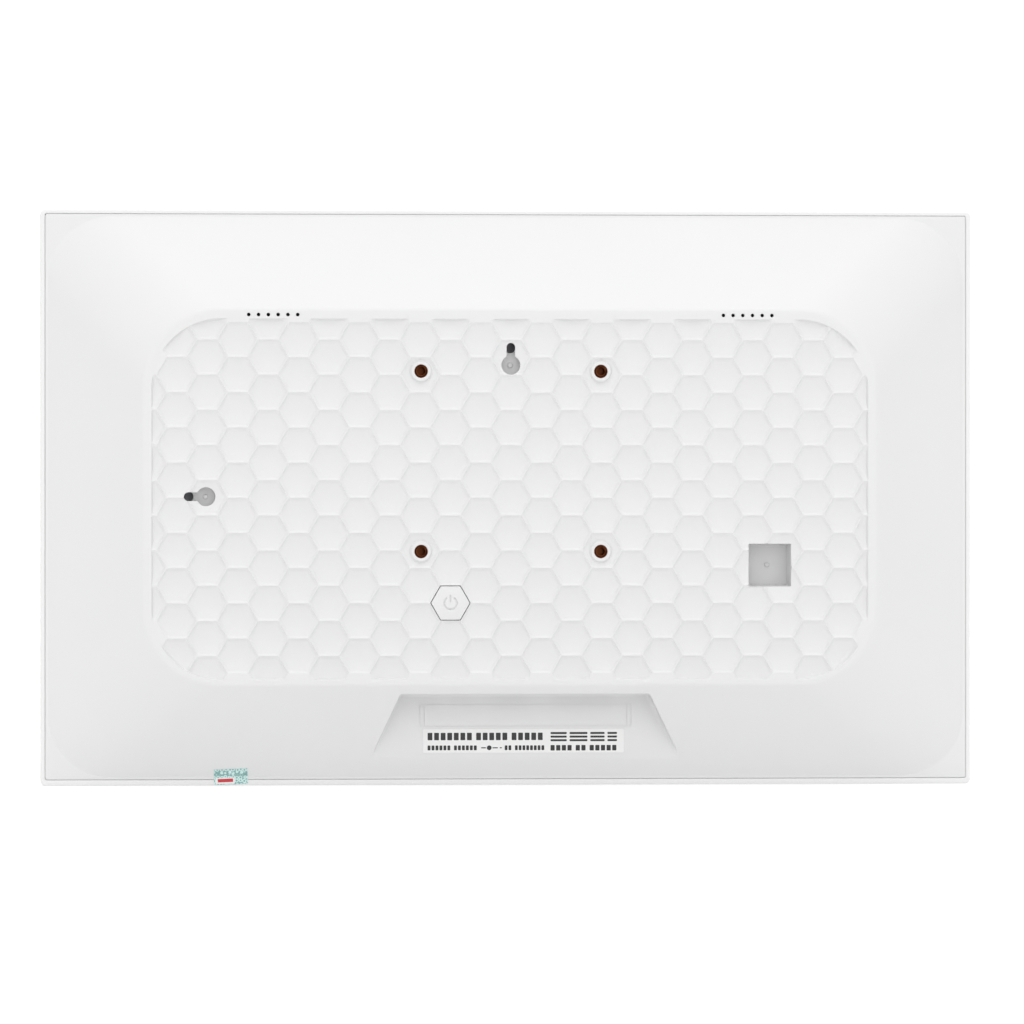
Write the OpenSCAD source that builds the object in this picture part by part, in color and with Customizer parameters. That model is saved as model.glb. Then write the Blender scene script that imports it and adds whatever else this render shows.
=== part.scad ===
// Digital photo frame, 15.6 inch, with a domed back cover and a 75 mm wall mount pattern.
// Millimetres. X runs across the screen, Z runs up, and the screen faces -Y.
// The origin is under the middle of the frame, on the plane of its bottom edge.

/* [Frame] */
// Overall width of the frame
frame_w = 390; // [388:1:396]
// Overall height of the frame
frame_h = 240; // [239:1:244]
// Depth from the front face to the flat of the back
frame_d = 32; // [32:0.5:34]
// Depth at which the rim and the cover's flange end
rim_d = 13; // [12.5:0.5:13.5]
// Thickness of the bezel's front plate
bezel_t = 2.5; // [2:0.25:2.5]
// Thickness of the bezel's side walls
side_wall = 1.7; // [1.5:0.1:2]
// Thickness of the bezel's top wall
top_wall = 1.5; // [1.3:0.1:2]
// Thickness of the bezel's bottom wall
bottom_wall = 2.3; // [1.8:0.1:2.5]
// Radius of the frame's outer corners
corner_r = 2; // [1:0.5:3]

/* [Screen] */
// Width of the picture
picture_w = 344.2; // [340:0.1:345]
// Height of the picture
picture_h = 193.6; // [190:0.1:194]
// How far the window shows beyond the picture on each side
window_margin = 0.7; // [0.3:0.1:1]
// Width of the window's sloped edge
window_bevel = 2.2; // [1:0.1:2.5]

/* [Back dome] */
// Wall thickness of the back cover
cover_t = 2.2; // [2:0.1:2.4]
// Gap between the back cover and the bezel's walls
seam = 0.2; // [0.1:0.05:0.3]
// Corner radius where the dome rises from the flange
dome_r = 27; // [22:1:32]
// Width of the dome's flat top
top_w = 306; // [300:1:310]
// Height of the dome's flat top
top_h = 156; // [152:1:158]
// Corner radius of the dome's flat top
top_r = 32.5; // [28:0.5:36]

/* [Wall mounting] */
// Spacing of the threaded inserts, both ways
mount_pitch = 75; // [75:1:75]
// Outer radius of a threaded insert
insert_r = 2.8; // [2.6:0.1:3]
// Radius of the insert's bore, at the crests of an M4 thread
insert_bore_r = 1.65; // [1.6:0.05:1.7]
// Length of a threaded insert
insert_l = 8; // [6:0.5:8.5]
// Radius of a keyhole's round end
keyhole_r = 3.95; // [3.5:0.05:4.2]
// Width of a keyhole's slot
keyhole_slot = 3.6; // [3.2:0.1:4]
// Distance from the round end's centre to the slot's end centre
keyhole_run = 7.4; // [6.5:0.1:8]
// Room for a screw head behind a keyhole
keyhole_room = 3.8; // [3:0.1:4]

/* [Dimples] */
// Width of a hexagonal cell across its flats
cell_af = 14.6; // [14.6:0.1:15]
// Width of the ridge between two dimples
ridge_w = 0.8; // [0.6:0.1:1.2]
// Depth of a dimple
dimple_d = 0.7; // [0.3:0.1:0.8]
// Width of the dimpled field
field_w = 299.2; // [294:0.2:300]
// Height of the dimpled field
field_h = 148.8; // [144:0.2:150]
// Corner radius of the dimpled field
field_r = 29; // [26:0.5:32]

/* [Stand socket] */
// Width of the square socket for the stand's peg
socket_w = 18; // [16:0.5:19]
// Depth of the socket
socket_d = 13; // [11:0.5:13]

/* [Button] */
// Width of the hexagonal button across its flats
button_af = 14; // [13.5:0.1:14.2]
// Gap round the button
button_gap = 0.25; // [0.15:0.05:0.3]
// How far the button travels
button_travel = 0.5; // [0.3:0.1:0.5]

/* [Speakers] */
// Distance of each speaker from the frame's middle
speaker_x = 99; // [95:1:103]
// Radius of a sound hole
sound_hole_r = 0.75; // [0.6:0.05:0.8]
// Spacing of the sound holes
sound_pitch = 4.07; // [4:0.01:4.4]

/* [Port recess] */
// Depth, from the front face, of the recess's floor
recess_floor = 17.2; // [16.8:0.1:17.4]
// Height of the wall that holds the ports
port_wall_z = 38.3; // [38:0.1:39]

/* [Hidden] */
$fn = 48;
hull_fn = 32; // facets of a hull's round corners
eps = 0.02; // overlap where two forms are joined
past = 1; // how far a cut runs past the face that it opens

// Frame and cover outlines
middle_z = frame_h / 2;
well_w = frame_w - 2 * side_wall;
well_h = frame_h - top_wall - bottom_wall;
well_z = bottom_wall + well_h / 2;
cover_w = well_w - 2 * seam;
cover_h = well_h - 2 * seam;
cover_r = 1;
skirt_t = 1.6;
skirt_front = 5;
flange_t = 2;
dome_edge = 0.8;
dome_w = cover_w - 2 * dome_edge;
dome_h = cover_h - 2 * dome_edge;
cover_inside = frame_d - cover_t;
flange_inside = rim_d - flange_t;
ledge = 0.4;

// Snap ridges on the cover's skirt, and their grooves in the bezel
snap_l = 12;
snap_t = 0.5;
snap_front = 7;
snap_back = 8.2;
snap_room = 0.1;
snap_x = [-120, -40, 40, 120];
snap_z = [-60, 60];

// Screen module, front to back, with the depth at which each layer starts
gasket_front = bezel_t;
touch_front = 3;
cell_front = 3.7;
films_front = 4.9;
guide_front = 5.3;
reflector_front = 7.1;
tray_front = 7.4;
tray_back = 7.8;
bracket_back = 8.8;
window_w = picture_w + 2 * window_margin;
window_h = picture_h + 2 * window_margin;
screen_side = 3.2;
screen_foot = 7;
screen_head = 5;
screen_w = picture_w + 2 * screen_side;
screen_bottom = middle_z - picture_h / 2 - screen_foot;
screen_top = middle_z + picture_h / 2 + screen_head;
screen_h = screen_top - screen_bottom;
screen_z = (screen_top + screen_bottom) / 2;
window_r = 0.5;
bevel_back = bezel_t - 0.6;
gasket_gap = 0.5;
cell_inset = 0.5;
mid_ring = 2;
sheet_gap = 0.2;
sheet_inset = cell_inset + mid_ring + sheet_gap;
led_w = 330;
led_h = 2.4;
tray_t = 0.4;
driver_w = 300;
driver_t = 1;
driver_bottom = 6.2;
driver_top = screen_bottom - 1;
flex_x = [-126, -42, 42, 126];
flex_w = 22;
flex_t = 0.2;
insulation_x = [-80, 74];
insulation_z = [32, 118];
insulation_t = 0.2;

// Brackets and their screws
bracket_x = 182;
bracket_w = 12;
bracket_in = 160;
bracket_z = [40, middle_z, 200];
bracket_end = 8;
bracket_plate_h = 120;
bracket_r = 2;
screw_r = 1.2;
screw_gap = 0.05;
screw_floor = 2;
screw_clear_r = 1.6;
screw_head_r = 2.8;
screw_head_t = 1.6;
boss_r = 3.2;
boss_floor = 0.7;
bracket_screw_l = 5;

// Mounting features on the dome's flat
mount_z = 135.1;
mount_x = [-mount_pitch / 2, mount_pitch / 2];
mount_dz = [-mount_pitch / 2, mount_pitch / 2];
mount_boss_r = 4.5;
insert_back = frame_d - 0.2;
insert_front = insert_back - insert_l;
top_keyhole = [0, 175.2];
side_keyhole = [126.9, 120.4];
cup_wall = 1.2;
cup_margin = 0.9;
cup_floor = cover_inside - keyhole_room;
cup_bump_r = 1.1;
cup_bump_h = 0.8;
socket_at = [-108.4, 91.9];
socket_floor = frame_d - socket_d;
socket_wall = 1.5;
socket_pip_r = 1;
socket_pip_h = 1;

// Dimples, in columns that step half a cell, with one cell on the frame's centre
cell_pitch = cell_af * cos(30);
cell_columns = ceil(field_w / cell_pitch / 2);
cell_rows = ceil(field_h / cell_af / 2);
rim_gap = 0.5;

// Power button over its switch
button_at = [2 * cell_pitch, middle_z - 3 * cell_af];
button_lip = 1.1;
lip_gap = 0.4;
lip_t = 1.3;
lip_back = cover_inside - lip_gap;
stem_r = 1.6;
stem_gap = 0.15;
button_guide_r = 9.95;
button_guide_wall = 1.2;
button_guide_front = 25.5;

// Mainboard
board_front = 17.4;
board_back = 19;
board_left = -70;
board_right = 62;
board_bottom = port_wall_z + 2.7;
board_top = 112;
post_r = 3.2;
post_screw_l = 6;
post_at = [[-64, 52], [56, 52], [-64, 106], [56, 106]];
chip_h = 1.2;
chip_w = 15;
chip_at = [-14, 88];
memory_size = [8, 10];
memory_t = 1;
memory_at = [[12, 97], [12, 84], [-38, 97], [-38, 84]];
heatsink_w = 32;
heatsink_base = 2;
heatsink_back = 27.5;
fin_t = 1.2;
fin_count = 7;
switch_w = 6;
switch_back = 22.5;
plunger_r = 1.75;
plunger_front = 21.2;
plunger_back = 24;
plunger_gap = 0.12;
switch_bore_floor = plunger_front - button_travel - 0.2;
connector_front = 13.4;
connector_spans = [
    [[-30, -6], [44, 49]], [[30, 38], [44, 49]], [[44, 52], [92, 98]], [[-60, -52], [92, 98]]
];

// Ports, mounted on the back of the board and facing down through the port wall
port_wall_t = 2;
port_inside = port_wall_z + port_wall_t + 0.3;
port_face = port_wall_z + 0.6;
port_clear = 0.3;
port_root = 1;
port_foot = 3;
port_end = 2;
dc_x = 33;
dc_w = 9;
dc_l = 13;
dc_back = 28.4;
dc_y = 24.6;
dc_nose_r = 3.7;
dc_hole_r = 2.8;
dc_hole_l = 9.7;
dc_pin_r = 1;
headphone_x = 18;
headphone_w = 6.5;
headphone_l = 12;
headphone_back = 24.4;
headphone_y = 21.7;
headphone_nose_r = 2.2;
headphone_hole_r = 1.8;
usb_x = 0;
usb_w = 13.1;
usb_l = 13;
usb_foot_l = 3;
usb_front = 19.7;
usb_back = 25.5;
usb_wall = 0.4;
usb_tongue = [usb_w - 3, 1.9];
usb_tongue_off = 1.2;
sd_x = -31;
sd_w = 26;
sd_l = 24;
sd_foot_w = 22;
sd_foot_l = 17;
sd_front = 19.4;
sd_back = 22.2;
sd_wall = 0.3;

// Recess that holds the ports and the rating label
recess_top = [-58.2, 46.1];
recess_foot = [-72, 57.5];
recess_foot_z = 12;
recess_wall = 2;
inset_x = [-51.6, 37.2];
inset_z = [24.8, 34.3];
inset_d = 0.3;
label_x = [-48.5, 35.7];
label_z = [13.5, 23.4];
label_t = 0.15;

// Speakers
speaker_z = 188;
speaker_w = 34;
speaker_h = 20;
speaker_front = 17.5;
speaker_back = 27.5;
speaker_gasket_back = 28.7;
speaker_r = 3;
speaker_ear_x = 21;
speaker_ear_in = 2;
speaker_ear = [9, 7];
speaker_ear_front = 19.5;
speaker_ear_back = 21;
speaker_post_r = 2.5;
speaker_screw_l = 5;
cone_r = 8.5;
cone_gap = 0.5;
cone_room = 5;
magnet_r = 7;
magnet_t = 3;
gasket_w = 2;
sound_z = 196;
sound_count = 6;
chamber_w = 32;
chamber_h = 22;
chamber_wall = 1.2;

// Leads in the space between the screen and the board
wire_w = 2;
wire_front = 14.6;
wire_back = 15.6;
screen_cable_x = [-28, -8];
backlight_x = [33, 35];
antenna_x = [62, 102];
antenna_z = [138, 146];
antenna_t = 0.3;
antenna_wire_w = 1;

// Tamper sticker across the seam
sticker_x = [108.8, 122.8];
sticker_z = [0.4, 6.9];
sticker_t = 0.15;

// ---- Placing helpers ----

// The centre of a dimple's cell.
function cell_centre(column, row) =
    [column * cell_pitch, middle_z + (row + (column % 2 == 0 ? 0 : 0.5)) * cell_af];

// A flat outline, x across and z up, made solid between two depths behind the front face.
module layer(front, back) {
    translate([0, back - frame_d / 2, 0])
        rotate([90, 0, 0])
            linear_extrude(back - front) children();
}

// A side outline, depth across and z up, made solid between two places along X.
module side_profile(from_x, to_x) {
    translate([from_x, -frame_d / 2, 0])
        rotate([90, 0, 90])
            linear_extrude(to_x - from_x) children();
}

// An outline on the XY plane, x across and depth up, made solid between two heights.
module standing(from_z, to_z) {
    translate([0, -frame_d / 2, from_z]) linear_extrude(to_z - from_z) children();
}

// A flat rectangle between two corners.
module area(x, z) {
    translate([x[0], z[0]]) square([x[1] - x[0], z[1] - z[0]]);
}

// A flat rectangle with round corners, centred on a point.
module round_rect(w, h, r, at = [0, 0]) {
    translate(at) {
        square([w - 2 * r, h], center = true);
        square([w, h - 2 * r], center = true);
        for (side = [-1, 1], end = [-1, 1])
            translate([side * (w / 2 - r), end * (h / 2 - r)]) circle(r);
    }
}

// A flat disc on a point.
module disc(r, at) {
    translate(at) circle(r);
}

// A flat ring on a point.
module ring(at, outer_r, inner_r) {
    difference() {
        disc(outer_r, at);
        disc(inner_r, at);
    }
}

// A regular hexagon, flat at top and bottom, given across its flats.
module hexagon(across_flats, at) {
    translate(at) circle(across_flats / 2 / cos(30), $fn = 6);
}

// A keyhole's outline: a round end at a point, and a slot that runs off in a direction.
module keyhole(at, r, slot, turn, run = keyhole_run) {
    translate(at) rotate(turn) {
        circle(r);
        translate([0, -slot / 2]) square([run, slot]);
        translate([run, 0]) circle(slot / 2);
    }
}

// A flat wire's outline: straight stretches of one width, with round joints a little wider.
module wire_path(points, w) {
    for (i = [0:len(points) - 2]) {
        step = points[i + 1] - points[i];
        translate(points[i]) rotate(atan2(step[1], step[0]))
            translate([0, -w / 2]) square([norm(step), w]);
    }
    for (point = points) translate(point) circle(w / 2 + 0.1);
}

// ---- Shared forms ----

// The dome: a round-cornered base, sloping in to a round-cornered flat.
module dome(base_w, base_h, base_r, base_y, flat_w, flat_h, flat_r, flat_y) {
    hull() {
        layer(base_y - ledge, base_y)
            round_rect(base_w, base_h, base_r, [0, well_z], $fn = hull_fn);
        layer(flat_y - ledge, flat_y)
            round_rect(flat_w, flat_h, flat_r, [0, middle_z], $fn = hull_fn);
    }
}

// The recess's trapezoid, grown on each side and at the top.
module recess_outline(grow = 0) {
    polygon([
        [recess_foot[0] - grow, recess_foot_z],
        [recess_foot[1] + grow, recess_foot_z],
        [recess_top[1] + grow, port_wall_z + grow],
        [recess_top[0] - grow, port_wall_z + grow]
    ]);
}

// Blocks where the cover snaps into the bezel, grown by the room they need.
module snaps(grow = 0) {
    long = snap_l / 2 + grow;
    layer(snap_front - grow, snap_back + grow) {
        for (x = snap_x, side = [-1, 1])
            translate([x, well_z + side * cover_h / 2])
                square([2 * long, 2 * (snap_t + grow)], center = true);
        for (z = snap_z, side = [-1, 1])
            translate([side * cover_w / 2, well_z + z])
                square([2 * (snap_t + grow), 2 * long], center = true);
    }
}

// A ring between two flat outlines, as a wall between two depths.
module ring_wall(front, back) {
    layer(front, back) difference() {
        children(0);
        children(1);
    }
}

// A pan-head screw that points towards the back, with its head's seat at a depth.
module screw_to_back(at, seat, length) {
    layer(seat - screw_head_t, seat) disc(screw_head_r, at);
    layer(seat - eps, seat + length) disc(screw_r - screw_gap, at);
}

// A pan-head screw that points towards the front.
module screw_to_front(at, seat, length) {
    layer(seat, seat + screw_head_t) disc(screw_head_r, at);
    layer(seat - length, seat + eps) disc(screw_r - screw_gap, at);
}

// ---- Front ----

module front_bezel() {
    color("white") difference() {
        union() {
            difference() {
                layer(0, rim_d) round_rect(frame_w, frame_h, corner_r, [0, middle_z]);
                layer(bezel_t, rim_d + past) round_rect(well_w, well_h, cover_r, [0, well_z]);
            }
            for (side = [-1, 1], z = bracket_z)
                layer(bezel_t - past, tray_back) disc(boss_r, [side * bracket_x, z]);
        }
        window();
        snaps(snap_room);
        for (side = [-1, 1], z = bracket_z)
            layer(bezel_t + boss_floor, tray_back + past) disc(screw_r, [side * bracket_x, z]);
    }
}

// The picture window, wider at the front.
module window() {
    layer(-past, bezel_t + past) round_rect(window_w, window_h, window_r, [0, middle_z]);
    hull() {
        layer(-past, 0)
            square_at(window_w + 2 * window_bevel, window_h + 2 * window_bevel);
        layer(bevel_back - eps, bevel_back) square_at(window_w, window_h);
    }
}

// A rectangle centred on the picture.
module square_at(w, h) {
    translate([0, middle_z]) square([w, h], center = true);
}

// The screen module's outline, less an inset all round.
module screen_area(inset = 0) {
    translate([0, screen_z]) square([screen_w - 2 * inset, screen_h - 2 * inset], center = true);
}

module foam_gasket() {
    color("dimgray") ring_wall(gasket_front, touch_front) {
        screen_area();
        square_at(window_w + 2 * gasket_gap, window_h + 2 * gasket_gap);
    }
}

module touch_panel() {
    color("black") layer(touch_front, cell_front) screen_area();
}

module lcd_cell() {
    color("darkslategray") layer(cell_front, films_front) screen_area(cell_inset);
}

module lcd_mid_frame() {
    color("ivory") ring_wall(films_front, tray_front) {
        screen_area(cell_inset);
        screen_area(cell_inset + mid_ring);
    }
}

// A sheet that fills the mid frame's inside, above the LED bar if it stops short of it.
module inner_sheet(front, back, foot = 0) {
    half = screen_w / 2 - sheet_inset;
    layer(front, back)
        area([-half, half], [screen_bottom + sheet_inset + foot, screen_top - sheet_inset]);
}

module optical_films() {
    color("gainsboro") inner_sheet(films_front, guide_front);
}

module light_guide() {
    color("aliceblue") inner_sheet(guide_front, reflector_front, led_h + sheet_gap);
}

module led_bar() {
    low = screen_bottom + sheet_inset;
    color("khaki") layer(guide_front, reflector_front)
        area([-led_w / 2, led_w / 2], [low, low + led_h]);
}

module reflector_sheet() {
    color("white") inner_sheet(reflector_front, tray_front);
}

module lcd_tray() {
    color("silver") {
        layer(tray_front, tray_back) area(
            [-screen_w / 2 - tray_t, screen_w / 2 + tray_t],
            [driver_bottom, screen_top + tray_t]
        );
        for (side = [-1, 1])
            layer(films_front, tray_front)
                translate([side * (screen_w + tray_t) / 2, screen_z + tray_t / 2])
                    square([tray_t, screen_h + tray_t], center = true);
        layer(films_front, tray_front)
            translate([0, screen_top + tray_t / 2])
                square([screen_w + 2 * tray_t, tray_t], center = true);
    }
}

module lcd_driver_board() {
    color("seagreen") layer(tray_front - driver_t, tray_front)
        area([-driver_w / 2, driver_w / 2], [driver_bottom, driver_top]);
}

// Film tabs that fold from the glass down to the driver board.
module lcd_flex_tabs() {
    from = cell_front + 0.6;
    to = tray_front - driver_t;
    glass_z = screen_bottom + cell_inset;
    fold_z = driver_top - 1;
    board_z = driver_top - 4;
    color("peru") for (x = flex_x)
        side_profile(x - flex_w / 2, x + flex_w / 2) polygon([
            [from, glass_z], [from + flex_t, glass_z], [from + flex_t, fold_z],
            [to - flex_t, board_z], [to, board_z], [to, board_z - 0.5],
            [to - 0.3, board_z - 0.5], [from, fold_z - 0.1]
        ]);
}

module lcd_bracket(side) {
    color("lightsteelblue") layer(tray_back, bracket_back) difference() {
        union() {
            translate([side * (bracket_x + bracket_in) / 2, middle_z])
                square([bracket_x - bracket_in, bracket_plate_h], center = true);
            translate([side * bracket_x, middle_z])
                round_rect(bracket_w, bracket_z[2] - bracket_z[0] + 2 * bracket_end, bracket_r);
        }
        for (z = bracket_z) disc(screw_clear_r, [side * bracket_x, z]);
    }
}

module bracket_screws() {
    color("silver") for (side = [-1, 1], z = bracket_z)
        screw_to_front([side * bracket_x, z], bracket_back, bracket_screw_l);
}

module insulation_sheet() {
    color("black") layer(tray_back, tray_back + insulation_t) area(insulation_x, insulation_z);
}

// ---- Back ----

module rear_cover() {
    color("white") difference() {
        union() {
            layer(skirt_front, rim_d) round_rect(cover_w, cover_h, cover_r, [0, well_z]);
            dome(dome_w, dome_h, dome_r, rim_d, top_w, top_h, top_r, frame_d);
            snaps();
        }
        difference() {
            cover_hollow();
            cover_ribs();
        }
        cover_openings();
    }
}

// The space inside the cover.
module cover_hollow() {
    inset = 2 * skirt_t;
    layer(skirt_front - past, flange_inside) square_hollow(cover_w - inset, cover_h - inset);
    dome(cover_w - inset - 0.4, cover_h - inset - 0.4, dome_r, flange_inside,
         top_w - 2, top_h - 2, top_r, cover_inside);
}

module square_hollow(w, h) {
    translate([0, well_z]) square([w, h], center = true);
}

// Walls and posts that are moulded inside the cover. The dome's inner face ends them.
module cover_ribs() {
    for (x = mount_x, dz = mount_dz)
        layer(insert_front - 1.5, frame_d) disc(mount_boss_r, [x, mount_z + dz]);
    for (at = post_at) layer(board_back, frame_d) disc(post_r, at);
    for (hole = [[top_keyhole, 90], [side_keyhole, 0]])
        layer(cup_floor - cup_wall, frame_d)
            keyhole(hole[0], keyhole_r + cup_margin + cup_wall, 2 * (keyhole_r + cup_wall),
                    hole[1]);
    layer(socket_floor - socket_wall, frame_d)
        translate(socket_at) square(socket_w + 2 * socket_wall, center = true);
    ring_wall(button_guide_front, frame_d) {
        disc(button_guide_r + button_guide_wall, button_at);
        disc(button_guide_r, button_at);
    }
    for (side = [-1, 1]) {
        ring_wall(speaker_gasket_back, frame_d) {
            translate([side * speaker_x, speaker_z]) square([chamber_w, chamber_h], center = true);
            translate([side * speaker_x, speaker_z])
                square([chamber_w - 2 * chamber_wall, chamber_h - 2 * chamber_wall], center = true);
        }
        for (end = [-1, 1])
            layer(speaker_ear_back, frame_d)
                disc(speaker_post_r, [side * speaker_x + end * speaker_ear_x, speaker_z]);
    }
    layer(recess_floor - recess_wall, frame_d) recess_outline(recess_wall);
}

// Everything that is open in the cover's outer face, and the holes for its inserts and screws.
module cover_openings() {
    for (x = mount_x, dz = mount_dz)
        layer(insert_front, frame_d + past) disc(insert_r, [x, mount_z + dz]);
    for (hole = [[top_keyhole, 90], [side_keyhole, 0]]) {
        layer(cover_inside - past / 2, frame_d + past)
            keyhole(hole[0], keyhole_r, keyhole_slot, hole[1]);
        difference() {
            layer(cup_floor, cover_inside)
                keyhole(hole[0], keyhole_r + cup_margin, 2 * keyhole_r, hole[1]);
            layer(cup_floor - past, cup_floor + cup_bump_h) disc(cup_bump_r, hole[0]);
        }
    }
    difference() {
        layer(socket_floor, frame_d + past) translate(socket_at) square(socket_w, center = true);
        layer(socket_floor - past, socket_floor + socket_pip_h) disc(socket_pip_r, socket_at);
    }
    layer(cover_inside - past, frame_d + past) hexagon(button_af + 2 * button_gap, button_at);
    layer(cover_inside - past, frame_d + past)
        for (side = [-1, 1], i = [0:sound_count - 1])
            disc(sound_hole_r,
                 [side * speaker_x + (i - (sound_count - 1) / 2) * sound_pitch, sound_z]);
    for (at = post_at) layer(board_back - past, cover_inside - screw_floor) disc(screw_r, at);
    for (side = [-1, 1], end = [-1, 1])
        layer(speaker_ear_back - past, cover_inside - screw_floor)
            disc(screw_r, [side * speaker_x + end * speaker_ear_x, speaker_z]);
    layer(recess_floor, frame_d + past) recess_outline();
    layer(recess_floor - inset_d, recess_floor + past) area(inset_x, inset_z);
    port_openings();
    dimples();
}

// Hexagonal dimples over the dome's flat, clear of the bosses, the button and the socket.
module dimples() {
    layer(frame_d - dimple_d, frame_d + past) difference() {
        intersection() {
            for (column = [-cell_columns:cell_columns], row = [-cell_rows:cell_rows])
                hexagon(cell_af - ridge_w, cell_centre(column, row));
            round_rect(field_w, field_h, field_r, [0, middle_z]);
        }
        for (x = mount_x, dz = mount_dz) disc(mount_boss_r - rim_gap, [x, mount_z + dz]);
        hexagon(button_af + 2 * button_gap + rim_gap, button_at);
        translate(socket_at) square(socket_w + 2 * rim_gap, center = true);
    }
}

// Openings in the port wall, one for each port's nose.
module port_openings() {
    standing(port_wall_z - past, port_wall_z + port_wall_t + past) {
        disc(dc_nose_r + port_clear, [dc_x, dc_y]);
        disc(headphone_nose_r + port_clear, [headphone_x, headphone_y]);
        translate([usb_x, (usb_front + usb_back) / 2])
            square([usb_w + 2 * port_clear, usb_back - usb_front + 2 * port_clear], center = true);
        translate([sd_x, (sd_front + sd_back) / 2])
            square([sd_w + 2 * port_clear, sd_back - sd_front + 2 * port_clear], center = true);
    }
}

// Four brass inserts, M4, pressed into the cover's bosses.
module threaded_inserts() {
    color("peru") for (x = mount_x, dz = mount_dz)
        layer(insert_front, insert_back) difference() {
            disc(insert_r, [x, mount_z + dz]);
            disc(insert_bore_r, [x, mount_z + dz]);
        }
}

// ---- Power button and switch ----

module power_button() {
    color("white") {
        layer(lip_back - lip_t, frame_d) hexagon(button_af, button_at);
        layer(lip_back - lip_t, lip_back) hexagon(button_af + 2 * button_lip, button_at);
        layer(plunger_back + stem_gap, lip_back - lip_t + eps) disc(stem_r, button_at);
    }
}

module switch_plunger() {
    color("black") layer(plunger_front, plunger_back) disc(plunger_r, button_at);
}

module power_switch() {
    color("dimgray") difference() {
        layer(board_back, switch_back)
            translate(button_at) square(switch_w, center = true);
        layer(switch_bore_floor, switch_back + past)
            disc(plunger_r + plunger_gap, button_at);
    }
}

// ---- Electronics ----

module mainboard() {
    color("seagreen") layer(board_front, board_back) difference() {
        area([board_left, board_right], [board_bottom, board_top]);
        for (at = post_at) disc(screw_clear_r, at);
    }
}

module mainboard_screws() {
    color("silver") for (at = post_at) screw_to_back(at, board_front, post_screw_l);
}

module soc_chip() {
    color("black") layer(board_back, board_back + chip_h)
        translate(chip_at) square(chip_w, center = true);
}

module memory_chips() {
    color("black") layer(board_back, board_back + memory_t)
        for (at = memory_at) translate(at) square(memory_size, center = true);
}

module heatsink() {
    base_front = board_back + chip_h;
    pitch = (heatsink_w - fin_t) / (fin_count - 1);
    color("silver") {
        layer(base_front, base_front + heatsink_base)
            translate(chip_at) square(heatsink_w, center = true);
        layer(base_front + heatsink_base - eps, heatsink_back)
            for (i = [0:fin_count - 1])
                translate(chip_at + [(i - (fin_count - 1) / 2) * pitch, 0])
                    square([fin_t, heatsink_w], center = true);
    }
}

// Sockets on the front of the board, for the screen, backlight and speaker leads.
module board_connectors() {
    color("ivory") layer(connector_front, board_front)
        for (span = connector_spans) area(span[0], span[1]);
}

module dc_jack() {
    color("dimgray") difference() {
        union() {
            standing(port_inside, port_inside + dc_l)
                area([dc_x - dc_w / 2, dc_x + dc_w / 2], [board_back, dc_back]);
            standing(port_face, port_inside + port_root) disc(dc_nose_r, [dc_x, dc_y]);
        }
        standing(port_face - past, port_face + dc_hole_l)
            ring([dc_x, dc_y], dc_hole_r, dc_pin_r);
    }
}

module headphone_jack() {
    color("dimgray") difference() {
        union() {
            standing(port_inside, port_inside + headphone_l) area(
                [headphone_x - headphone_w / 2, headphone_x + headphone_w / 2],
                [board_back, headphone_back]
            );
            standing(port_face, port_inside + port_root)
                disc(headphone_nose_r, [headphone_x, headphone_y]);
        }
        standing(port_face - past, port_inside + headphone_l - port_end)
            disc(headphone_hole_r, [headphone_x, headphone_y]);
    }
}

// USB A socket: a steel shell, open at the bottom, with a tongue on one side.
module usb_port() {
    middle = (usb_front + usb_back) / 2;
    color("silver") difference() {
        union() {
            standing(port_face, port_inside + usb_l)
                area([usb_x - usb_w / 2, usb_x + usb_w / 2], [usb_front, usb_back]);
            standing(port_inside + port_foot, port_inside + port_foot + usb_foot_l)
                area([usb_x - usb_w / 2, usb_x + usb_w / 2], [board_back, usb_front + eps]);
        }
        standing(port_face - past, port_inside + usb_l - port_end) difference() {
            translate([usb_x, middle])
                square([usb_w - 2 * usb_wall, usb_back - usb_front - 2 * usb_wall], center = true);
            translate([usb_x, middle + usb_tongue_off]) square(usb_tongue, center = true);
        }
    }
}

// Memory card slot: a flat steel box, open at the bottom.
module sd_card_slot() {
    middle = (sd_front + sd_back) / 2;
    color("silver") difference() {
        union() {
            standing(port_face, port_inside + sd_l)
                area([sd_x - sd_w / 2, sd_x + sd_w / 2], [sd_front, sd_back]);
            standing(port_inside + port_foot, port_inside + port_foot + sd_foot_l)
                area([sd_x - sd_foot_w / 2, sd_x + sd_foot_w / 2], [board_back, sd_front + eps]);
        }
        standing(port_face - past, port_inside + sd_l - port_end) translate([sd_x, middle])
            square([sd_w - 2 * sd_wall, sd_back - sd_front - 2 * sd_wall], center = true);
    }
}

// ---- Speakers ----

module speaker_basket(side) {
    centre = [side * speaker_x, speaker_z];
    color("black") difference() {
        union() {
            layer(speaker_front + magnet_t, speaker_back)
                round_rect(speaker_w, speaker_h, speaker_r, centre);
            layer(speaker_ear_front, speaker_ear_back) for (end = [-1, 1])
                translate(centre + [end * (speaker_ear_x - speaker_ear_in), 0])
                    square(speaker_ear, center = true);
        }
        layer(speaker_back - cone_room, speaker_back + past) disc(cone_r + cone_gap, centre);
        layer(speaker_front, speaker_back) disc(magnet_r - 1, centre);
        for (end = [-1, 1])
            layer(speaker_ear_front - past, speaker_ear_back + past)
                disc(screw_clear_r, centre + [end * speaker_ear_x, 0]);
    }
}

// The cone: a shallow paper dish, open towards the back of the frame.
module speaker_cone(side) {
    cone_rim = cone_r + cone_gap - 0.1;
    color("dimgray") translate([side * speaker_x, speaker_back - frame_d / 2, speaker_z])
        rotate([90, 0, 0]) rotate_extrude() polygon([
            [0, 3.2], [3, 3.2], [6.5, 0.6], [cone_rim, 0.6], [cone_rim, 1.4],
            [6.8, 1.4], [3.2, 4.2], [0, 4.2]
        ]);
}

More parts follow.
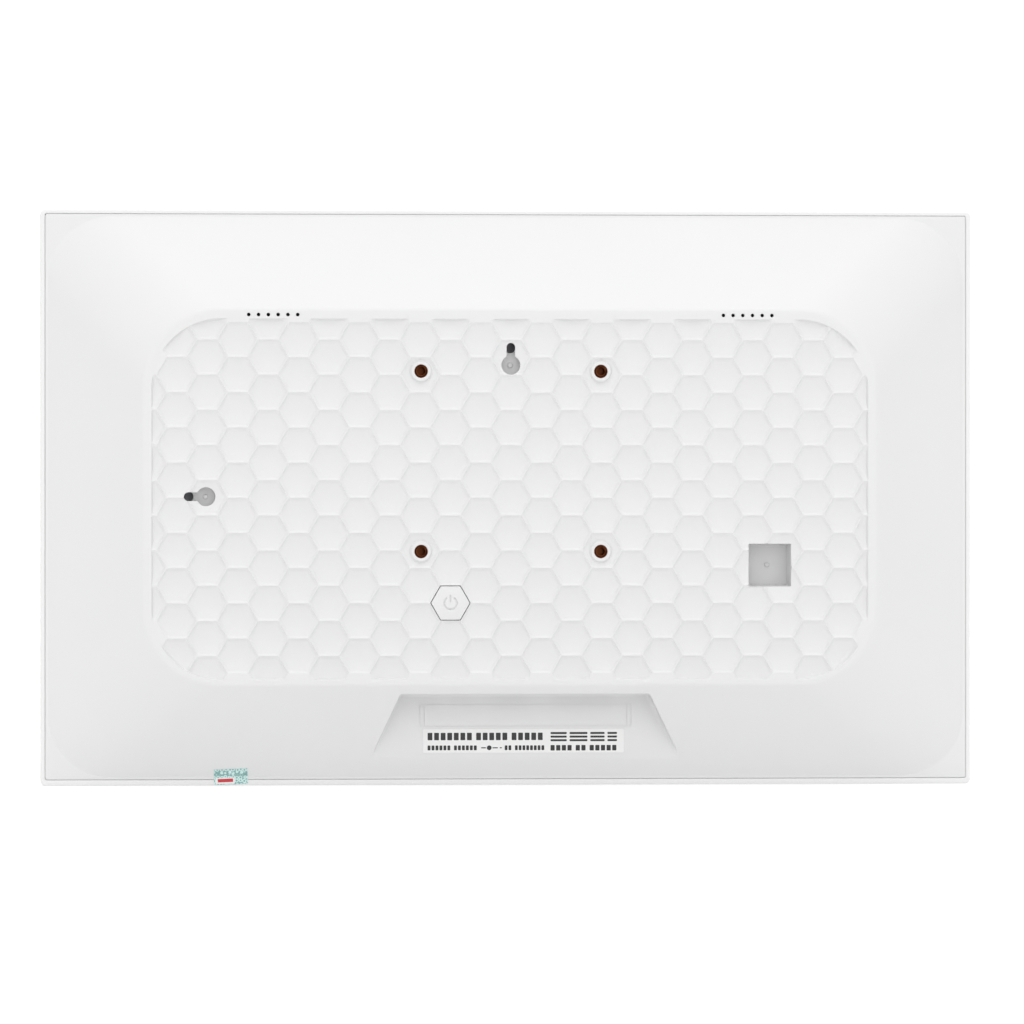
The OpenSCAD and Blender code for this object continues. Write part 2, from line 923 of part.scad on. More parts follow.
module speaker_magnet(side) {
    color("silver") layer(speaker_front, speaker_front + magnet_t)
        disc(magnet_r, [side * speaker_x, speaker_z]);
}

module speaker_gasket(side) {
    centre = [side * speaker_x, speaker_z];
    color("dimgray") ring_wall(speaker_back, speaker_gasket_back) {
        translate(centre) square([chamber_w, speaker_h], center = true);
        translate(centre)
            square([chamber_w - 2 * gasket_w, speaker_h - 2 * gasket_w], center = true);
    }
}

module speaker_screws() {
    color("silver") for (side = [-1, 1], end = [-1, 1])
        screw_to_back([side * speaker_x + end * speaker_ear_x, speaker_z],
                      speaker_ear_front, speaker_screw_l);
}

// ---- Wiring inside the case ----

module speaker_wire(side) {
    socket_x = side > 0 ? 53.2 : -61.2;
    points = [
        [side * 85, 184], [side * 70, 176], [side * 66, 130], [socket_x + side * 4, 95],
        [socket_x, 95]
    ];
    color(side > 0 ? "red" : "black") layer(wire_front, wire_back) wire_path(points, wire_w);
}

module screen_cable() {
    color("whitesmoke") side_profile(screen_cable_x[0], screen_cable_x[1]) polygon([
        [connector_front, 46], [connector_front - 0.3, 46], [9.2, 34], [9.2, 20],
        [tray_back + 0.3, 16], [tray_back, 16], [tray_back, 12], [tray_back + 0.3, 12],
        [tray_back + 0.6, 15.8], [9.5, 19.9], [9.5, 33.9], [connector_front, 45]
    ]);
}

module backlight_wire() {
    color("red") side_profile(backlight_x[0], backlight_x[1]) polygon([
        [connector_front, 47], [connector_front - 1, 47], [9.4, 36], [tray_back, 30],
        [tray_back, 24], [tray_back + 1, 24], [tray_back + 1, 29.6], [10.4, 35.6],
        [connector_front, 45.5]
    ]);
}

module wifi_antenna() {
    color("darkorange") layer(cover_inside - antenna_t, cover_inside)
        area(antenna_x, antenna_z);
}

module antenna_wire() {
    high = cover_inside - antenna_t;
    low = high - antenna_wire_w;
    drop_x = 54;
    color("gray") layer(low, high) wire_path([[64, 142], [58, 142], [drop_x, 118]], antenna_wire_w);
    color("gray") side_profile(drop_x - antenna_wire_w / 2, drop_x + antenna_wire_w / 2) polygon([
        [low, 118.5], [high, 118.5], [high, 117], [board_back + 1, 109], [board_back, 109],
        [board_back, 110], [low, 117.6]
    ]);
}

// ---- Label and sticker ----

module rating_label() {
    color("white") layer(recess_floor, recess_floor + label_t) area(label_x, label_z);
}

// The sticker lies on the rim, over the seam, and up the foot of the dome.
module tamper_sticker() {
    rise = (frame_d - rim_d) / ((dome_h - top_h) / 2 + middle_z - well_z);
    foot_z = well_z - dome_h / 2;
    top = rim_d + (sticker_z[1] - foot_z) * rise;
    color("paleturquoise") side_profile(sticker_x[0], sticker_x[1]) polygon([
        [rim_d, sticker_z[0]], [rim_d, foot_z], [top, sticker_z[1]],
        [top + sticker_t, sticker_z[1]], [rim_d + sticker_t, foot_z - 0.1],
        [rim_d + sticker_t, sticker_z[0]]
    ]);
}

front_bezel();
foam_gasket();
touch_panel();
lcd_cell();
lcd_mid_frame();
optical_films();
light_guide();
led_bar();
reflector_sheet();
lcd_tray();
lcd_driver_board();
lcd_flex_tabs();
lcd_bracket(-1);  // lcd_bracket_left
lcd_bracket(1);  // lcd_bracket_right
bracket_screws();
insulation_sheet();
rear_cover();
threaded_inserts();
power_button();
switch_plunger();
power_switch();
mainboard();
mainboard_screws();
soc_chip();
memory_chips();
heatsink();
board_connectors();
dc_jack();
headphone_jack();
usb_port();
sd_card_slot();
speaker_basket(-1);  // speaker_left_basket
speaker_cone(-1);  // speaker_left_cone
speaker_magnet(-1);  // speaker_left_magnet
speaker_gasket(-1);  // speaker_left_gasket
speaker_basket(1);  // speaker_right_basket
speaker_cone(1);  // speaker_right_cone
speaker_magnet(1);  // speaker_right_magnet
speaker_gasket(1);  // speaker_right_gasket
speaker_screws();
speaker_wire(-1);  // speaker_left_wire
speaker_wire(1);  // speaker_right_wire
screen_cable();
backlight_wire();
wifi_antenna();
antenna_wire();
rating_label();
tamper_sticker();
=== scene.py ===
"""Digital photo frame, seen from behind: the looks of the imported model, in the model's own frame.

Shapes are worked out in panel space, in millimetres: x across, depth behind the front face, z up.
"""

import math

import bmesh
import bpy
import numpy as np
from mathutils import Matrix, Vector
from mathutils.geometry import delaunay_2d_cdt
from mathutils.kdtree import KDTree


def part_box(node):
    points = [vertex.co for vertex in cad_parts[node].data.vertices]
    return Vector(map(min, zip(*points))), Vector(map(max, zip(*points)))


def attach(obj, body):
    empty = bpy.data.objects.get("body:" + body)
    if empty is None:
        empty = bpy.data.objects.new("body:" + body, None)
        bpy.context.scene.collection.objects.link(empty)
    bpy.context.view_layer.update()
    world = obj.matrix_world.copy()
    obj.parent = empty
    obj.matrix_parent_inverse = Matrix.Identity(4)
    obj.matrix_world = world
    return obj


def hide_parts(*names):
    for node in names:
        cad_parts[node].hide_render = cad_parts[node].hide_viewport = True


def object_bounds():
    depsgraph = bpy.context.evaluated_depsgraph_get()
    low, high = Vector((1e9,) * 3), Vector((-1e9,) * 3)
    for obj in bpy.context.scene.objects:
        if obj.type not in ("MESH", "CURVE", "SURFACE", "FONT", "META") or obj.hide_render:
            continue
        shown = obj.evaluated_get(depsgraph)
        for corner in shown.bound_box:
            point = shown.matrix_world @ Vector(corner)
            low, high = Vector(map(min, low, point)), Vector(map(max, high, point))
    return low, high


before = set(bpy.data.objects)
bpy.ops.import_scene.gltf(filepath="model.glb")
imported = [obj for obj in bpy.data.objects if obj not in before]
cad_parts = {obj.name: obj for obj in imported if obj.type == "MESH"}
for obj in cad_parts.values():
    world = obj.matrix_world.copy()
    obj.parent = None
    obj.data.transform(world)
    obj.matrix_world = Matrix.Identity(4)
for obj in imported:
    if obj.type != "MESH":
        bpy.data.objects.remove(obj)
CAD_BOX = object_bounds()

MM = 0.001
FRONT_Y = CAD_BOX[0].y


# ---- The frame's own measures, in millimetres ----

def span(node):
    """A CAD node's extent in panel space: lowest and highest (x, depth, z)."""
    return tuple(np.array((corner.x, corner.y - FRONT_Y, corner.z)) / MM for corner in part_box(node))


BEZEL_LOW, BEZEL_HIGH = span("front_bezel")
COVER_LOW, COVER_HIGH = span("rear_cover")
INSERT_LOW, INSERT_HIGH = span("threaded_inserts")
BUTTON_LOW, BUTTON_HIGH = span("power_button")
LABEL_LOW, LABEL_HIGH = span("rating_label")
STICKER_LOW, STICKER_HIGH = span("tamper_sticker")

FRAME_W = BEZEL_HIGH[0] - BEZEL_LOW[0]
FRAME_H = BEZEL_HIGH[2]
RIM = BEZEL_HIGH[1]              # depth at which the bezel's rim and the cover's flange end
BACK = COVER_HIGH[1]             # depth of the dome's flat
MIDDLE = FRAME_H / 2
SNAP = 0.5                       # how far the cover's hidden snap ridges stand out
COVER_W = COVER_HIGH[0] - COVER_LOW[0] - 2 * SNAP
COVER_H = COVER_HIGH[2] - COVER_LOW[2] - 2 * SNAP
COVER_Z = (COVER_HIGH[2] + COVER_LOW[2]) / 2
SKIRT = COVER_LOW[1]             # depth at which the cover's skirt starts
SEAM = 0.2
WELL_W = COVER_W + 2 * SEAM
WELL_H = COVER_H + 2 * SEAM
BEZEL_T = 2.5
WINDOW_W, WINDOW_H, WINDOW_R = 345.6, 195.0, 0.5
WINDOW_BEVEL, WINDOW_LIP = 2.2, 0.6
FRAME_R, FRONT_EDGE, REAR_EDGE = 2, 1.2, 0.35    # the bezel's corners, and its edges' rounding
RIM_EDGE = 0.25                  # rounding of the rim's inner edge, and of the cover's beside it

WALL = 2.2                       # thickness of the cover's wall
SKIRT_T, FLANGE_T = 1.6, 2
FLANGE_EDGE = 0.3
DOME_EDGE = 0.8                  # flange left beside the dome's straight sides
DOME_R = 27
TOP_W, TOP_H, TOP_R = 306, 156, 32.5
DOME_REACH = 39                  # how far the dome's slope runs in, on its long sides
FIELD_W, FIELD_H, FIELD_R = 299.2, 150.3, 29
FIELD_Z = MIDDLE - 0.75          # the dimpled field's middle
INSIDE = BACK - WALL

CELL = 14.6                      # hexagonal cell across its flats
CELL_SIDE = CELL / math.sqrt(3)
CELL_STEP = CELL * math.cos(math.radians(30))
BOWL = 1.35                      # depth of a cell's bowl
RIDGE_TOP = 0.12                 # half the width of a ridge's flat top
RIDGE_FOOT = 0.95                # distance from a ridge's middle to the foot of its flank
RIDGE_H = 0.22                   # height of a ridge's flank
CELL_OUT = 3                     # cells with their middles further out than this stay flat
FOOT_LINES = (1.25, 1.9)         # distances from a ridge's middle of two more lines of points
BOWL_EDGE, BOWL_PITCH = 2.6, 1.45    # where the even spread of points starts, and its spacing
WALL_SLOPE = 1.6                 # steepness of the field's drafted border

INSERT_R, BORE_R = 2.8, 1.65
THREAD_PITCH, THREAD_DEPTH = 0.7, 0.32
INSERT_X = INSERT_HIGH[0] - INSERT_R
INSERT_Z = (INSERT_LOW[2] + INSERT_R, INSERT_HIGH[2] - INSERT_R)
BOSS_R, POST_R = 4.0, 4.5
POST_FLOOR = 1.5                 # plastic left in front of an insert
BUTTON_X = (BUTTON_LOW[0] + BUTTON_HIGH[0]) / 2
BUTTON_Z = (BUTTON_LOW[2] + BUTTON_HIGH[2]) / 2
BUTTON_AF, BUTTON_GAP = 14.0, 0.25
BUTTON_LIP = (28.1, 29.4)        # depths of the lip that holds the button in
BUTTON_LIP_OUT = 1.1
STEM_R = 1.6
GUIDE_R, GUIDE_OUT_R, GUIDE_FRONT = 9.95, 11.15, 25.5
SYMBOL_R, SYMBOL_LINE, SYMBOL_DEPTH = 2.6, 0.34, 0.4
KEYHOLES = (((0, 175.2), 90), ((126.9, 120.4), 0))
KEYHOLE_R, KEYHOLE_SLOT, KEYHOLE_RUN = 3.95, 3.6, 7.4
CUP_FLOOR = INSIDE - 3.8         # floor of the room for a screw's head behind a keyhole
CUP_SLOT = 2 * KEYHOLE_R - 0.1
CUP_MARGIN, CUP_T, CUP_HOLE_R = 0.9, 1.2, 2.4
SOCKET_X, SOCKET_Z, SOCKET_W, SOCKET_D = -108.4, 91.9, 18, 13
SOCKET_T, SOCKET_DRAFT = 1.5, 1.4
SPEAKER_X, SPEAKER_Z = 99, 188
CHAMBER_W, CHAMBER_H, CHAMBER_T, CHAMBER_FRONT = 32, 22, 1.2, 28.7
SOUND_COUNT = 6
SOUND_Z, SOUND_PITCH, SOUND_R = 196, 4.07, 0.75
PORT_WALL = 38.3
PORT_GAP = 0.3
FLAT_PORTS = (("usb_port", 19.7), ("sd_card_slot", 19.4))    # node, and front of its nose
ROUND_PORTS = ((3.7, (33, 24.6)), (2.2, (18, 21.7)))         # nose's radius, and (x, depth)
RECESS_FLOOR = LABEL_LOW[1]
RECESS = ((-72, 12), (57.5, 12), (46.1, PORT_WALL), (-58.2, PORT_WALL))
RECESS_WALL = 2
INSET = (-7.2, 29.2)             # middle of the shallow outlines on the recess's floor
INSET_WIDTHS, INSET_H, INSET_LINE = (88.8, 85.2), 9.5, 0.7
FILLET = 1.8                     # radius between the recess's floor and its walls
BROW = 0.2                       # rounding of the recess's upper edge
PAST = 1                         # how far a cut runs past the face that it opens
STICKER_TURN = 2.5               # the tamper sticker's slant, in degrees
STICKER_COLUMNS, STICKER_ROWS = 28, 16


# ---- Mesh helpers ----

def to_row(points):
    """Panel space, in millimetres, to the row's frame, in metres."""
    points = np.asarray(points, float)
    return np.stack([points[:, 0] * MM, FRONT_Y + points[:, 1] * MM, points[:, 2] * MM], axis=1)


def link(mesh, name):
    """A scene object for a mesh."""
    thing = bpy.data.objects.new(name, mesh)
    bpy.context.scene.collection.objects.link(thing)
    return thing


def new_object(name, points, faces):
    """An object from panel-space points and faces, with its normals facing out."""
    mesh = bpy.data.meshes.new(name)
    mesh.from_pydata(to_row(points).tolist(), [], faces)
    work = bmesh.new()
    work.from_mesh(mesh)
    bmesh.ops.recalc_face_normals(work, faces=work.faces)
    work.to_mesh(mesh)
    work.free()
    return link(mesh, name)


def level(points, depth):
    """A flat outline of (x, z) points as a ring at a depth, or at one depth for each point."""
    points = np.asarray(points, float)
    return np.stack([points[:, 0], np.broadcast_to(depth, len(points)), points[:, 1]], axis=1)


def upright(points, z):
    """A flat outline of (x, depth) points as a ring at a height."""
    points = np.asarray(points, float)
    return np.stack([points[:, 0], points[:, 1], np.full(len(points), float(z))], axis=1)


def bands(count, rings, closed=False):
    """Quads between neighbouring rings of the same number of points."""
    faces = []
    last = rings if closed else rings - 1
    for k in range(last):
        a, b = k * count, (k + 1) % rings * count
        for i in range(count):
            j = (i + 1) % count
            faces.append((a + i, a + j, b + j, b + i))
    return faces


def loft(name, rings):
    """A closed solid through rings of the same number of points, flat at both ends."""
    count = len(rings[0])
    faces = bands(count, len(rings))
    faces.append(tuple(reversed(range(count))))
    faces.append(tuple(range((len(rings) - 1) * count, len(rings) * count)))
    return new_object(name, np.concatenate(rings), faces)


def prism(outline, low, high, name="tool"):
    """A closed solid with one flat outline, between two depths."""
    return loft(name, [level(outline, low), level(outline, high)])


def hoop(name, rings):
    """A closed solid through rings that come back to the first one, such as a picture frame."""
    return new_object(name, np.concatenate(rings), bands(len(rings[0]), len(rings), closed=True))


def rounded(w, h, r, middle=(0, 0), arc=8, across=1, up=1):
    """Points round a rectangle with round corners; the last three set how many."""
    points = []
    cx, cz = middle
    for k, (sx, sz) in enumerate(((1, 1), (-1, 1), (-1, -1), (1, -1))):
        x, z = cx + sx * (w / 2 - r), cz + sz * (h / 2 - r)
        for i in range(arc + 1):
            angle = math.radians(90 * (k + i / arc))
            points.append((x + r * math.cos(angle), z + r * math.sin(angle)))
        steps = across if k % 2 == 0 else up
        start = points[-1]
        run = w - 2 * r if k % 2 == 0 else h - 2 * r
        angle = math.radians(90 * (k + 2))
        for i in range(1, steps):
            points.append((start[0] + run * i / steps * math.cos(angle),
                           start[1] + run * i / steps * math.sin(angle)))
    return np.array(points)


def circle(r, middle, count=48):
    """Points round a circle."""
    angles = np.arange(count) * 2 * math.pi / count
    return np.stack([middle[0] + r * np.cos(angles), middle[1] + r * np.sin(angles)], axis=1)


def hexagon(across_flats, middle, r=0.6, arc=6):
    """Points round a hexagon with round corners, flat at top and bottom."""
    reach = (across_flats / 2 - r) / math.cos(math.radians(30))
    points = []
    for k in range(6):
        corner = math.radians(60 * k)
        for i in range(arc + 1):
            angle = corner + math.radians(60 * (i / arc - 0.5))
            points.append((middle[0] + reach * math.cos(corner) + r * math.cos(angle),
                           middle[1] + reach * math.sin(corner) + r * math.sin(angle)))
    return np.array(points)


def keyhole(middle, r, slot, turn, grow=0.0, run=KEYHOLE_RUN):
    """Points round a keyhole: a round end at a point, and a slot that runs off at an angle."""
    r, half = r + grow, slot / 2 + grow
    meet = math.asin(min(1.0, half / r))
    points = []
    for i in range(41):
        angle = meet + (2 * math.pi - 2 * meet) * i / 40
        points.append((r * math.cos(angle), r * math.sin(angle)))
    for i in range(17):
        angle = math.radians(-90 + 180 * i / 16)
        points.append((run + half * math.cos(angle), half * math.sin(angle)))
    c, s = math.cos(math.radians(turn)), math.sin(math.radians(turn))
    return np.array([(middle[0] + c * x - s * z, middle[1] + s * x + c * z) for x, z in points])


def grown(points, by):
    """A convex outline moved outwards, given anticlockwise as seen with x right and z up."""
    points = np.asarray(points, float)
    moved = []
    for k in range(len(points)):
        before, here, after = points[k - 1], points[k], points[(k + 1) % len(points)]
        a, b = here - before, after - here
        na = np.array((a[1], -a[0])) / np.hypot(*a)
        nb = np.array((b[1], -b[0])) / np.hypot(*b)
        middle = na + nb
        moved.append(here + by * middle * 2 / np.dot(middle, middle))
    return np.array(moved)


def softened(points, r, arc=6):
    """A convex outline's corners, rounded with short curves."""
    points = np.asarray(points, float)
    soft = []
    for k in range(len(points)):
        before, here, after = points[k - 1], points[k], points[(k + 1) % len(points)]
        a = here + (before - here) / np.hypot(*(before - here)) * r
        b = here + (after - here) / np.hypot(*(after - here)) * r
        for i in range(arc + 1):
            t = i / arc
            soft.append((1 - t) ** 2 * a + 2 * t * (1 - t) * here + t ** 2 * b)
    return np.array(soft)


def combine(base, others, operation="DIFFERENCE"):
    """Cuts closed solids out of a closed solid, or adds them to it, and deletes them."""
    tools = bpy.data.collections.new("tools")
    bpy.context.scene.collection.children.link(tools)
    for other in others:
        bpy.context.scene.collection.objects.unlink(other)
        tools.objects.link(other)
    step = base.modifiers.new("combine", "BOOLEAN")
    step.operation = operation
    step.solver = "MANIFOLD"
    step.operand_type = "COLLECTION"
    step.collection = tools
    bpy.context.view_layer.update()
    graph = bpy.context.evaluated_depsgraph_get()
    solid = bpy.data.meshes.new_from_object(base.evaluated_get(graph))
    base.modifiers.clear()
    base.data = solid
    for other in others:
        bpy.data.objects.remove(other)
    bpy.data.collections.remove(tools)
    return base


def without_slivers(thing, reach=2e-6):
    """Joins points that cutting has left almost on one another, and drops the faces between."""
    work = bmesh.new()
    work.from_mesh(thing.data)
    bmesh.ops.triangulate(work, faces=work.faces)
    bmesh.ops.remove_doubles(work, verts=work.verts, dist=reach)
    bmesh.ops.dissolve_degenerate(work, edges=work.edges, dist=reach)
    bmesh.ops.triangulate(work, faces=work.faces)
    work.to_mesh(thing.data)
    work.free()


def smooth(thing, degrees=30):
    """Smooth shading, with creases where faces meet more sharply than this."""
    thing.data.polygons.foreach_set("use_smooth", [True] * len(thing.data.polygons))
    thing.data.set_sharp_from_angle(angle=math.radians(degrees))
    return thing


def finished(thing, material, body, slot, *nodes):
    """Gives a new piece its material and its body, and hides the CAD nodes that it stands for; slot
    is not used.
    """
    thing.data.materials.clear()
    thing.data.materials.append(material)
    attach(thing, body)
    if nodes:
        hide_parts(*nodes)


# ---- Materials ----

def nodes_for(name):
    """A new material with its node tree, and the principled shader in it."""
    material = bpy.data.materials.new(name)
    material.use_nodes = True
    tree = material.node_tree
    return material, tree, tree.nodes["Principled BSDF"]


def adjust(node, **settings):
    """Sets a node's inputs, their names written with underscores for spaces, and its options."""
    for key, value in settings.items():
        socket = key.replace("_", " ")
        if socket in node.inputs:
            node.inputs[socket].default_value = value
        else:
            setattr(node, key, value)
    return node


def add_node(tree, kind, **settings):
    """A new node with its settings."""
    return adjust(tree.nodes.new(kind), **settings)


def object_noise(tree, scale, detail=4.0):
    """Noise fixed to the object, at a number of cells to the metre."""
    place = add_node(tree, "ShaderNodeTexCoord")
    noise = add_node(tree, "ShaderNodeTexNoise", Scale=scale, Detail=detail)
    tree.links.new(place.outputs["Object"], noise.inputs["Vector"])
    return noise


def between(tree, value, low, high):
    """Maps a 0 to 1 value to a range."""
    ramp = add_node(tree, "ShaderNodeMapRange", To_Min=low, To_Max=high)
    tree.links.new(value, ramp.inputs["Value"])
    return ramp.outputs["Result"]


def tinted(tree, value, dark, light):
    """Mixes two colours by a 0 to 1 value."""
    mix = add_node(tree, "ShaderNodeMix", data_type="RGBA")
    mix.inputs["A"].default_value = (*dark, 1)
    mix.inputs["B"].default_value = (*light, 1)
    tree.links.new(value, mix.inputs["Factor"])
    return mix.outputs["Result"]


def bumped(tree, shader, height, distance, strength=0.5):
    """Bump from a height, at a real distance in metres."""
    bump = add_node(tree, "ShaderNodeBump", Strength=strength, Distance=distance)
    tree.links.new(height, bump.inputs["Height"])
    tree.links.new(bump.outputs["Normal"], shader.inputs["Normal"])


def moulded(name, dark, light, rough, grain=2600, relief=0.00002, coat=0.0, metal=0.0):
    """Moulded or cast stuff: slow colour variation, fine grain in its gloss and surface."""
    material, tree, shader = nodes_for(name)
    slow = object_noise(tree, 18, 2)
    fine = object_noise(tree, grain, 3)
    tree.links.new(tinted(tree, slow.outputs["Fac"], dark, light), shader.inputs["Base Color"])
    tree.links.new(between(tree, fine.outputs["Fac"], *rough), shader.inputs["Roughness"])
    adjust(shader, Coat_Weight=coat, Coat_Roughness=0.2, Metallic=metal)
    bumped(tree, shader, fine.outputs["Fac"], relief)
    return material


def brushed(name, dark, light, stretch, rough=(0.25, 0.45)):
    """Drawn or brushed metal: noise drawn out along one axis."""
    material, tree, shader = nodes_for(name)
    place = add_node(tree, "ShaderNodeTexCoord")
    squeeze = add_node(tree, "ShaderNodeMapping", Scale=stretch)
    grain = add_node(tree, "ShaderNodeTexNoise", Scale=1.0, Detail=3.0)
    tree.links.new(place.outputs["Object"], squeeze.inputs["Vector"])
    tree.links.new(squeeze.outputs["Vector"], grain.inputs["Vector"])
    tree.links.new(tinted(tree, grain.outputs["Fac"], dark, light), shader.inputs["Base Color"])
    tree.links.new(between(tree, grain.outputs["Fac"], *rough), shader.inputs["Roughness"])
    adjust(shader, Metallic=1.0)
    bumped(tree, shader, grain.outputs["Fac"], 0.00001)
    return material


def circuit_board():
    """Green solder mask with lighter traces under it."""
    material, tree, shader = nodes_for("circuit_board")
    place = add_node(tree, "ShaderNodeTexCoord")
    cells = add_node(tree, "ShaderNodeTexVoronoi", distance="MANHATTAN", feature="F1", Scale=340.0)
    tree.links.new(place.outputs["Object"], cells.inputs["Vector"])
    trace = add_node(tree, "ShaderNodeMapRange", From_Min=0.3, From_Max=0.36)
    tree.links.new(cells.outputs["Distance"], trace.inputs["Value"])
    colour = tinted(tree, trace.outputs["Result"], (0.01, 0.09, 0.035), (0.02, 0.16, 0.06))
    tree.links.new(colour, shader.inputs["Base Color"])
    adjust(shader, Roughness=0.3)
    bumped(tree, shader, trace.outputs["Result"], 0.00003)
    return material


def screen_glass():
    """Black glass with a faint dust of haze in its gloss."""
    material, tree, shader = nodes_for("screen_glass")
    haze = object_noise(tree, 30, 5)
    colour = tinted(tree, haze.outputs["Fac"], (0.004, 0.0045, 0.006), (0.009, 0.01, 0.012))
    tree.links.new(colour, shader.inputs["Base Color"])
    tree.links.new(between(tree, haze.outputs["Fac"], 0.03, 0.09), shader.inputs["Roughness"])
    adjust(shader, Specular_IOR_Level=0.3)
    return material


def sticker_paper():
    """Tamper-evident paper: pale teal with rings and specks of darker ink."""
    material, tree, shader = nodes_for("sticker")
    place = add_node(tree, "ShaderNodeTexCoord")
    cells = add_node(tree, "ShaderNodeTexVoronoi", feature="F1", Scale=620.0, Randomness=0.35)
    tree.links.new(place.outputs["Object"], cells.inputs["Vector"])
    wave = add_node(tree, "ShaderNodeMath", operation="SINE")
    wide = add_node(tree, "ShaderNodeMath", operation="MULTIPLY")
    wide.inputs[1].default_value = 12.0
    tree.links.new(cells.outputs["Distance"], wide.inputs[0])
    tree.links.new(wide.outputs["Value"], wave.inputs[0])
    rings = add_node(tree, "ShaderNodeMapRange", From_Min=-0.9, From_Max=0.8)
    tree.links.new(wave.outputs["Value"], rings.inputs["Value"])
    colour = tinted(tree, rings.outputs["Result"], (0.6, 0.78, 0.76), (0.19, 0.36, 0.35))
    tree.links.new(colour, shader.inputs["Base Color"])
    adjust(shader, Roughness=0.5)
    return material


WHITE = moulded("white_plastic", (0.675, 0.676, 0.676), (0.69, 0.69, 0.69), (0.38, 0.5))
RIM_WHITE = moulded("bezel_plastic", (0.72, 0.72, 0.72), (0.74, 0.74, 0.74), (0.22, 0.32),
                    relief=0.00001)
BRASS = moulded("brass", (0.08, 0.024, 0.01), (0.2, 0.065, 0.026), (0.25, 0.5),
                grain=1500, relief=0.00003, metal=1.0)
LABEL = moulded("label_paper", (0.74, 0.74, 0.735), (0.77, 0.77, 0.765), (0.4, 0.55), grain=4000)
INK = moulded("label_ink", (0.012, 0.012, 0.013), (0.03, 0.03, 0.032), (0.35, 0.5))
RED_INK = moulded("red_ink", (0.42, 0.02, 0.03), (0.6, 0.04, 0.05), (0.4, 0.5))
STICKER = sticker_paper()
GLASS = screen_glass()
LCD = moulded("lcd_glass", (0.012, 0.014, 0.016), (0.02, 0.022, 0.026), (0.12, 0.2), coat=0.5)
FOAM = moulded("foam", (0.02, 0.02, 0.021), (0.05, 0.05, 0.052), (0.8, 0.95),
               grain=1500, relief=0.0001)
BLACK = moulded("black_plastic", (0.012, 0.012, 0.013), (0.03, 0.03, 0.032), (0.4, 0.55))
IVORY = moulded("ivory_plastic", (0.62, 0.58, 0.45), (0.7, 0.66, 0.54), (0.4, 0.5))
FILM = moulded("film", (0.78, 0.8, 0.82), (0.86, 0.88, 0.9), (0.3, 0.45), coat=0.3)
ACRYLIC = moulded("acrylic", (0.7, 0.78, 0.82), (0.78, 0.86, 0.9), (0.08, 0.15), coat=0.6)
LED = moulded("led_strip", (0.75, 0.62, 0.2), (0.88, 0.78, 0.35), (0.4, 0.6))
STEEL = brushed("zinc_steel", (0.36, 0.37, 0.39), (0.56, 0.57, 0.6), (60, 900, 2600))
PLATED = brushed("plated_steel", (0.62, 0.62, 0.62), (0.76, 0.76, 0.77),
                 (2200, 300, 300), (0.15, 0.28))
SCREW = brushed("screw_steel", (0.4, 0.4, 0.42), (0.58, 0.58, 0.6), (2500, 2500, 400), (0.25, 0.4))
ALUMINIUM = brushed("aluminium", (0.62, 0.63, 0.65), (0.8, 0.81, 0.83),
                    (300, 300, 2600), (0.3, 0.45))
COPPER_FILM = moulded("copper_film", (0.4, 0.16, 0.03), (0.62, 0.28, 0.08), (0.3, 0.4), coat=0.3)
DARK_FILM = moulded("dark_film", (0.008, 0.008, 0.009), (0.02, 0.02, 0.02), (0.5, 0.6))
BOARD = circuit_board()
CHIP = moulded("chip_epoxy", (0.012, 0.012, 0.014), (0.028, 0.028, 0.03), (0.5, 0.65), grain=5000)
PAPER_CONE = moulded("pressed_paper", (0.014, 0.014, 0.015), (0.035, 0.034, 0.033), (0.8, 0.95),
                     grain=1800, relief=0.00008)
RED_WIRE = moulded("red_insulation", (0.45, 0.012, 0.01), (0.6, 0.03, 0.02), (0.4, 0.5))
BLACK_WIRE = moulded("black_insulation", (0.01, 0.01, 0.01), (0.025, 0.025, 0.025), (0.4, 0.5))
RIBBON = moulded("ribbon", (0.72, 0.72, 0.71), (0.82, 0.82, 0.81), (0.35, 0.5))

KEPT_NODES = (
    (FOAM, "foam_gasket", "speaker_left_gasket", "speaker_right_gasket"),
    (GLASS, "touch_panel"),
    (LCD, "lcd_cell"),
    (IVORY, "lcd_mid_frame", "board_connectors"),
    (FILM, "optical_films", "reflector_sheet"),
    (ACRYLIC, "light_guide"),
    (LED, "led_bar"),
    (STEEL, "lcd_tray", "lcd_bracket_left", "lcd_bracket_right"),
    (BOARD, "lcd_driver_board", "mainboard"),
    (COPPER_FILM, "lcd_flex_tabs", "wifi_antenna"),
    (SCREW, "bracket_screws", "mainboard_screws", "speaker_screws"),
    (DARK_FILM, "insulation_sheet"),
    (BLACK, "switch_plunger", "power_switch", "dc_jack", "headphone_jack",
     "speaker_left_basket", "speaker_right_basket"),
    (CHIP, "soc_chip", "memory_chips"),
    (ALUMINIUM, "heatsink"),
    (PLATED, "usb_port", "sd_card_slot", "speaker_left_magnet", "speaker_right_magnet"),
    (PAPER_CONE, "speaker_left_cone", "speaker_right_cone"),
    (BLACK_WIRE, "speaker_left_wire", "antenna_wire"),
    (RED_WIRE, "speaker_right_wire", "backlight_wire"),
    (RIBBON, "screen_cable"),
)


# ---- Rear cover ----

ARC, ACROSS, UP = 24, 190, 84     # points on a quarter corner, a long side and a short side
SLOPE_RINGS = 14
SLOPE_HOLLOW = 0.08               # how far the dome's slope is from straight
SHOULDER = 0.9                    # reach of the rounded shoulder


def dome_outline(w, h, r, z):
    """One of the cover's outlines, with the same points all the way up."""
    return rounded(w, h, r, (0, z), ARC, ACROSS, UP)


def dome_ring(t):
    """The outline of the dome's slope, from its base at 0 to its shoulder at 1."""
    base_w, base_h = COVER_W - 2 * DOME_EDGE, COVER_H - 2 * DOME_EDGE
    return dome_outline(
        base_w + (TOP_W - base_w) * t, base_h + (TOP_H - base_h) * t,
        DOME_R + (TOP_R - DOME_R) * t, COVER_Z + (MIDDLE - COVER_Z) * t,
    )


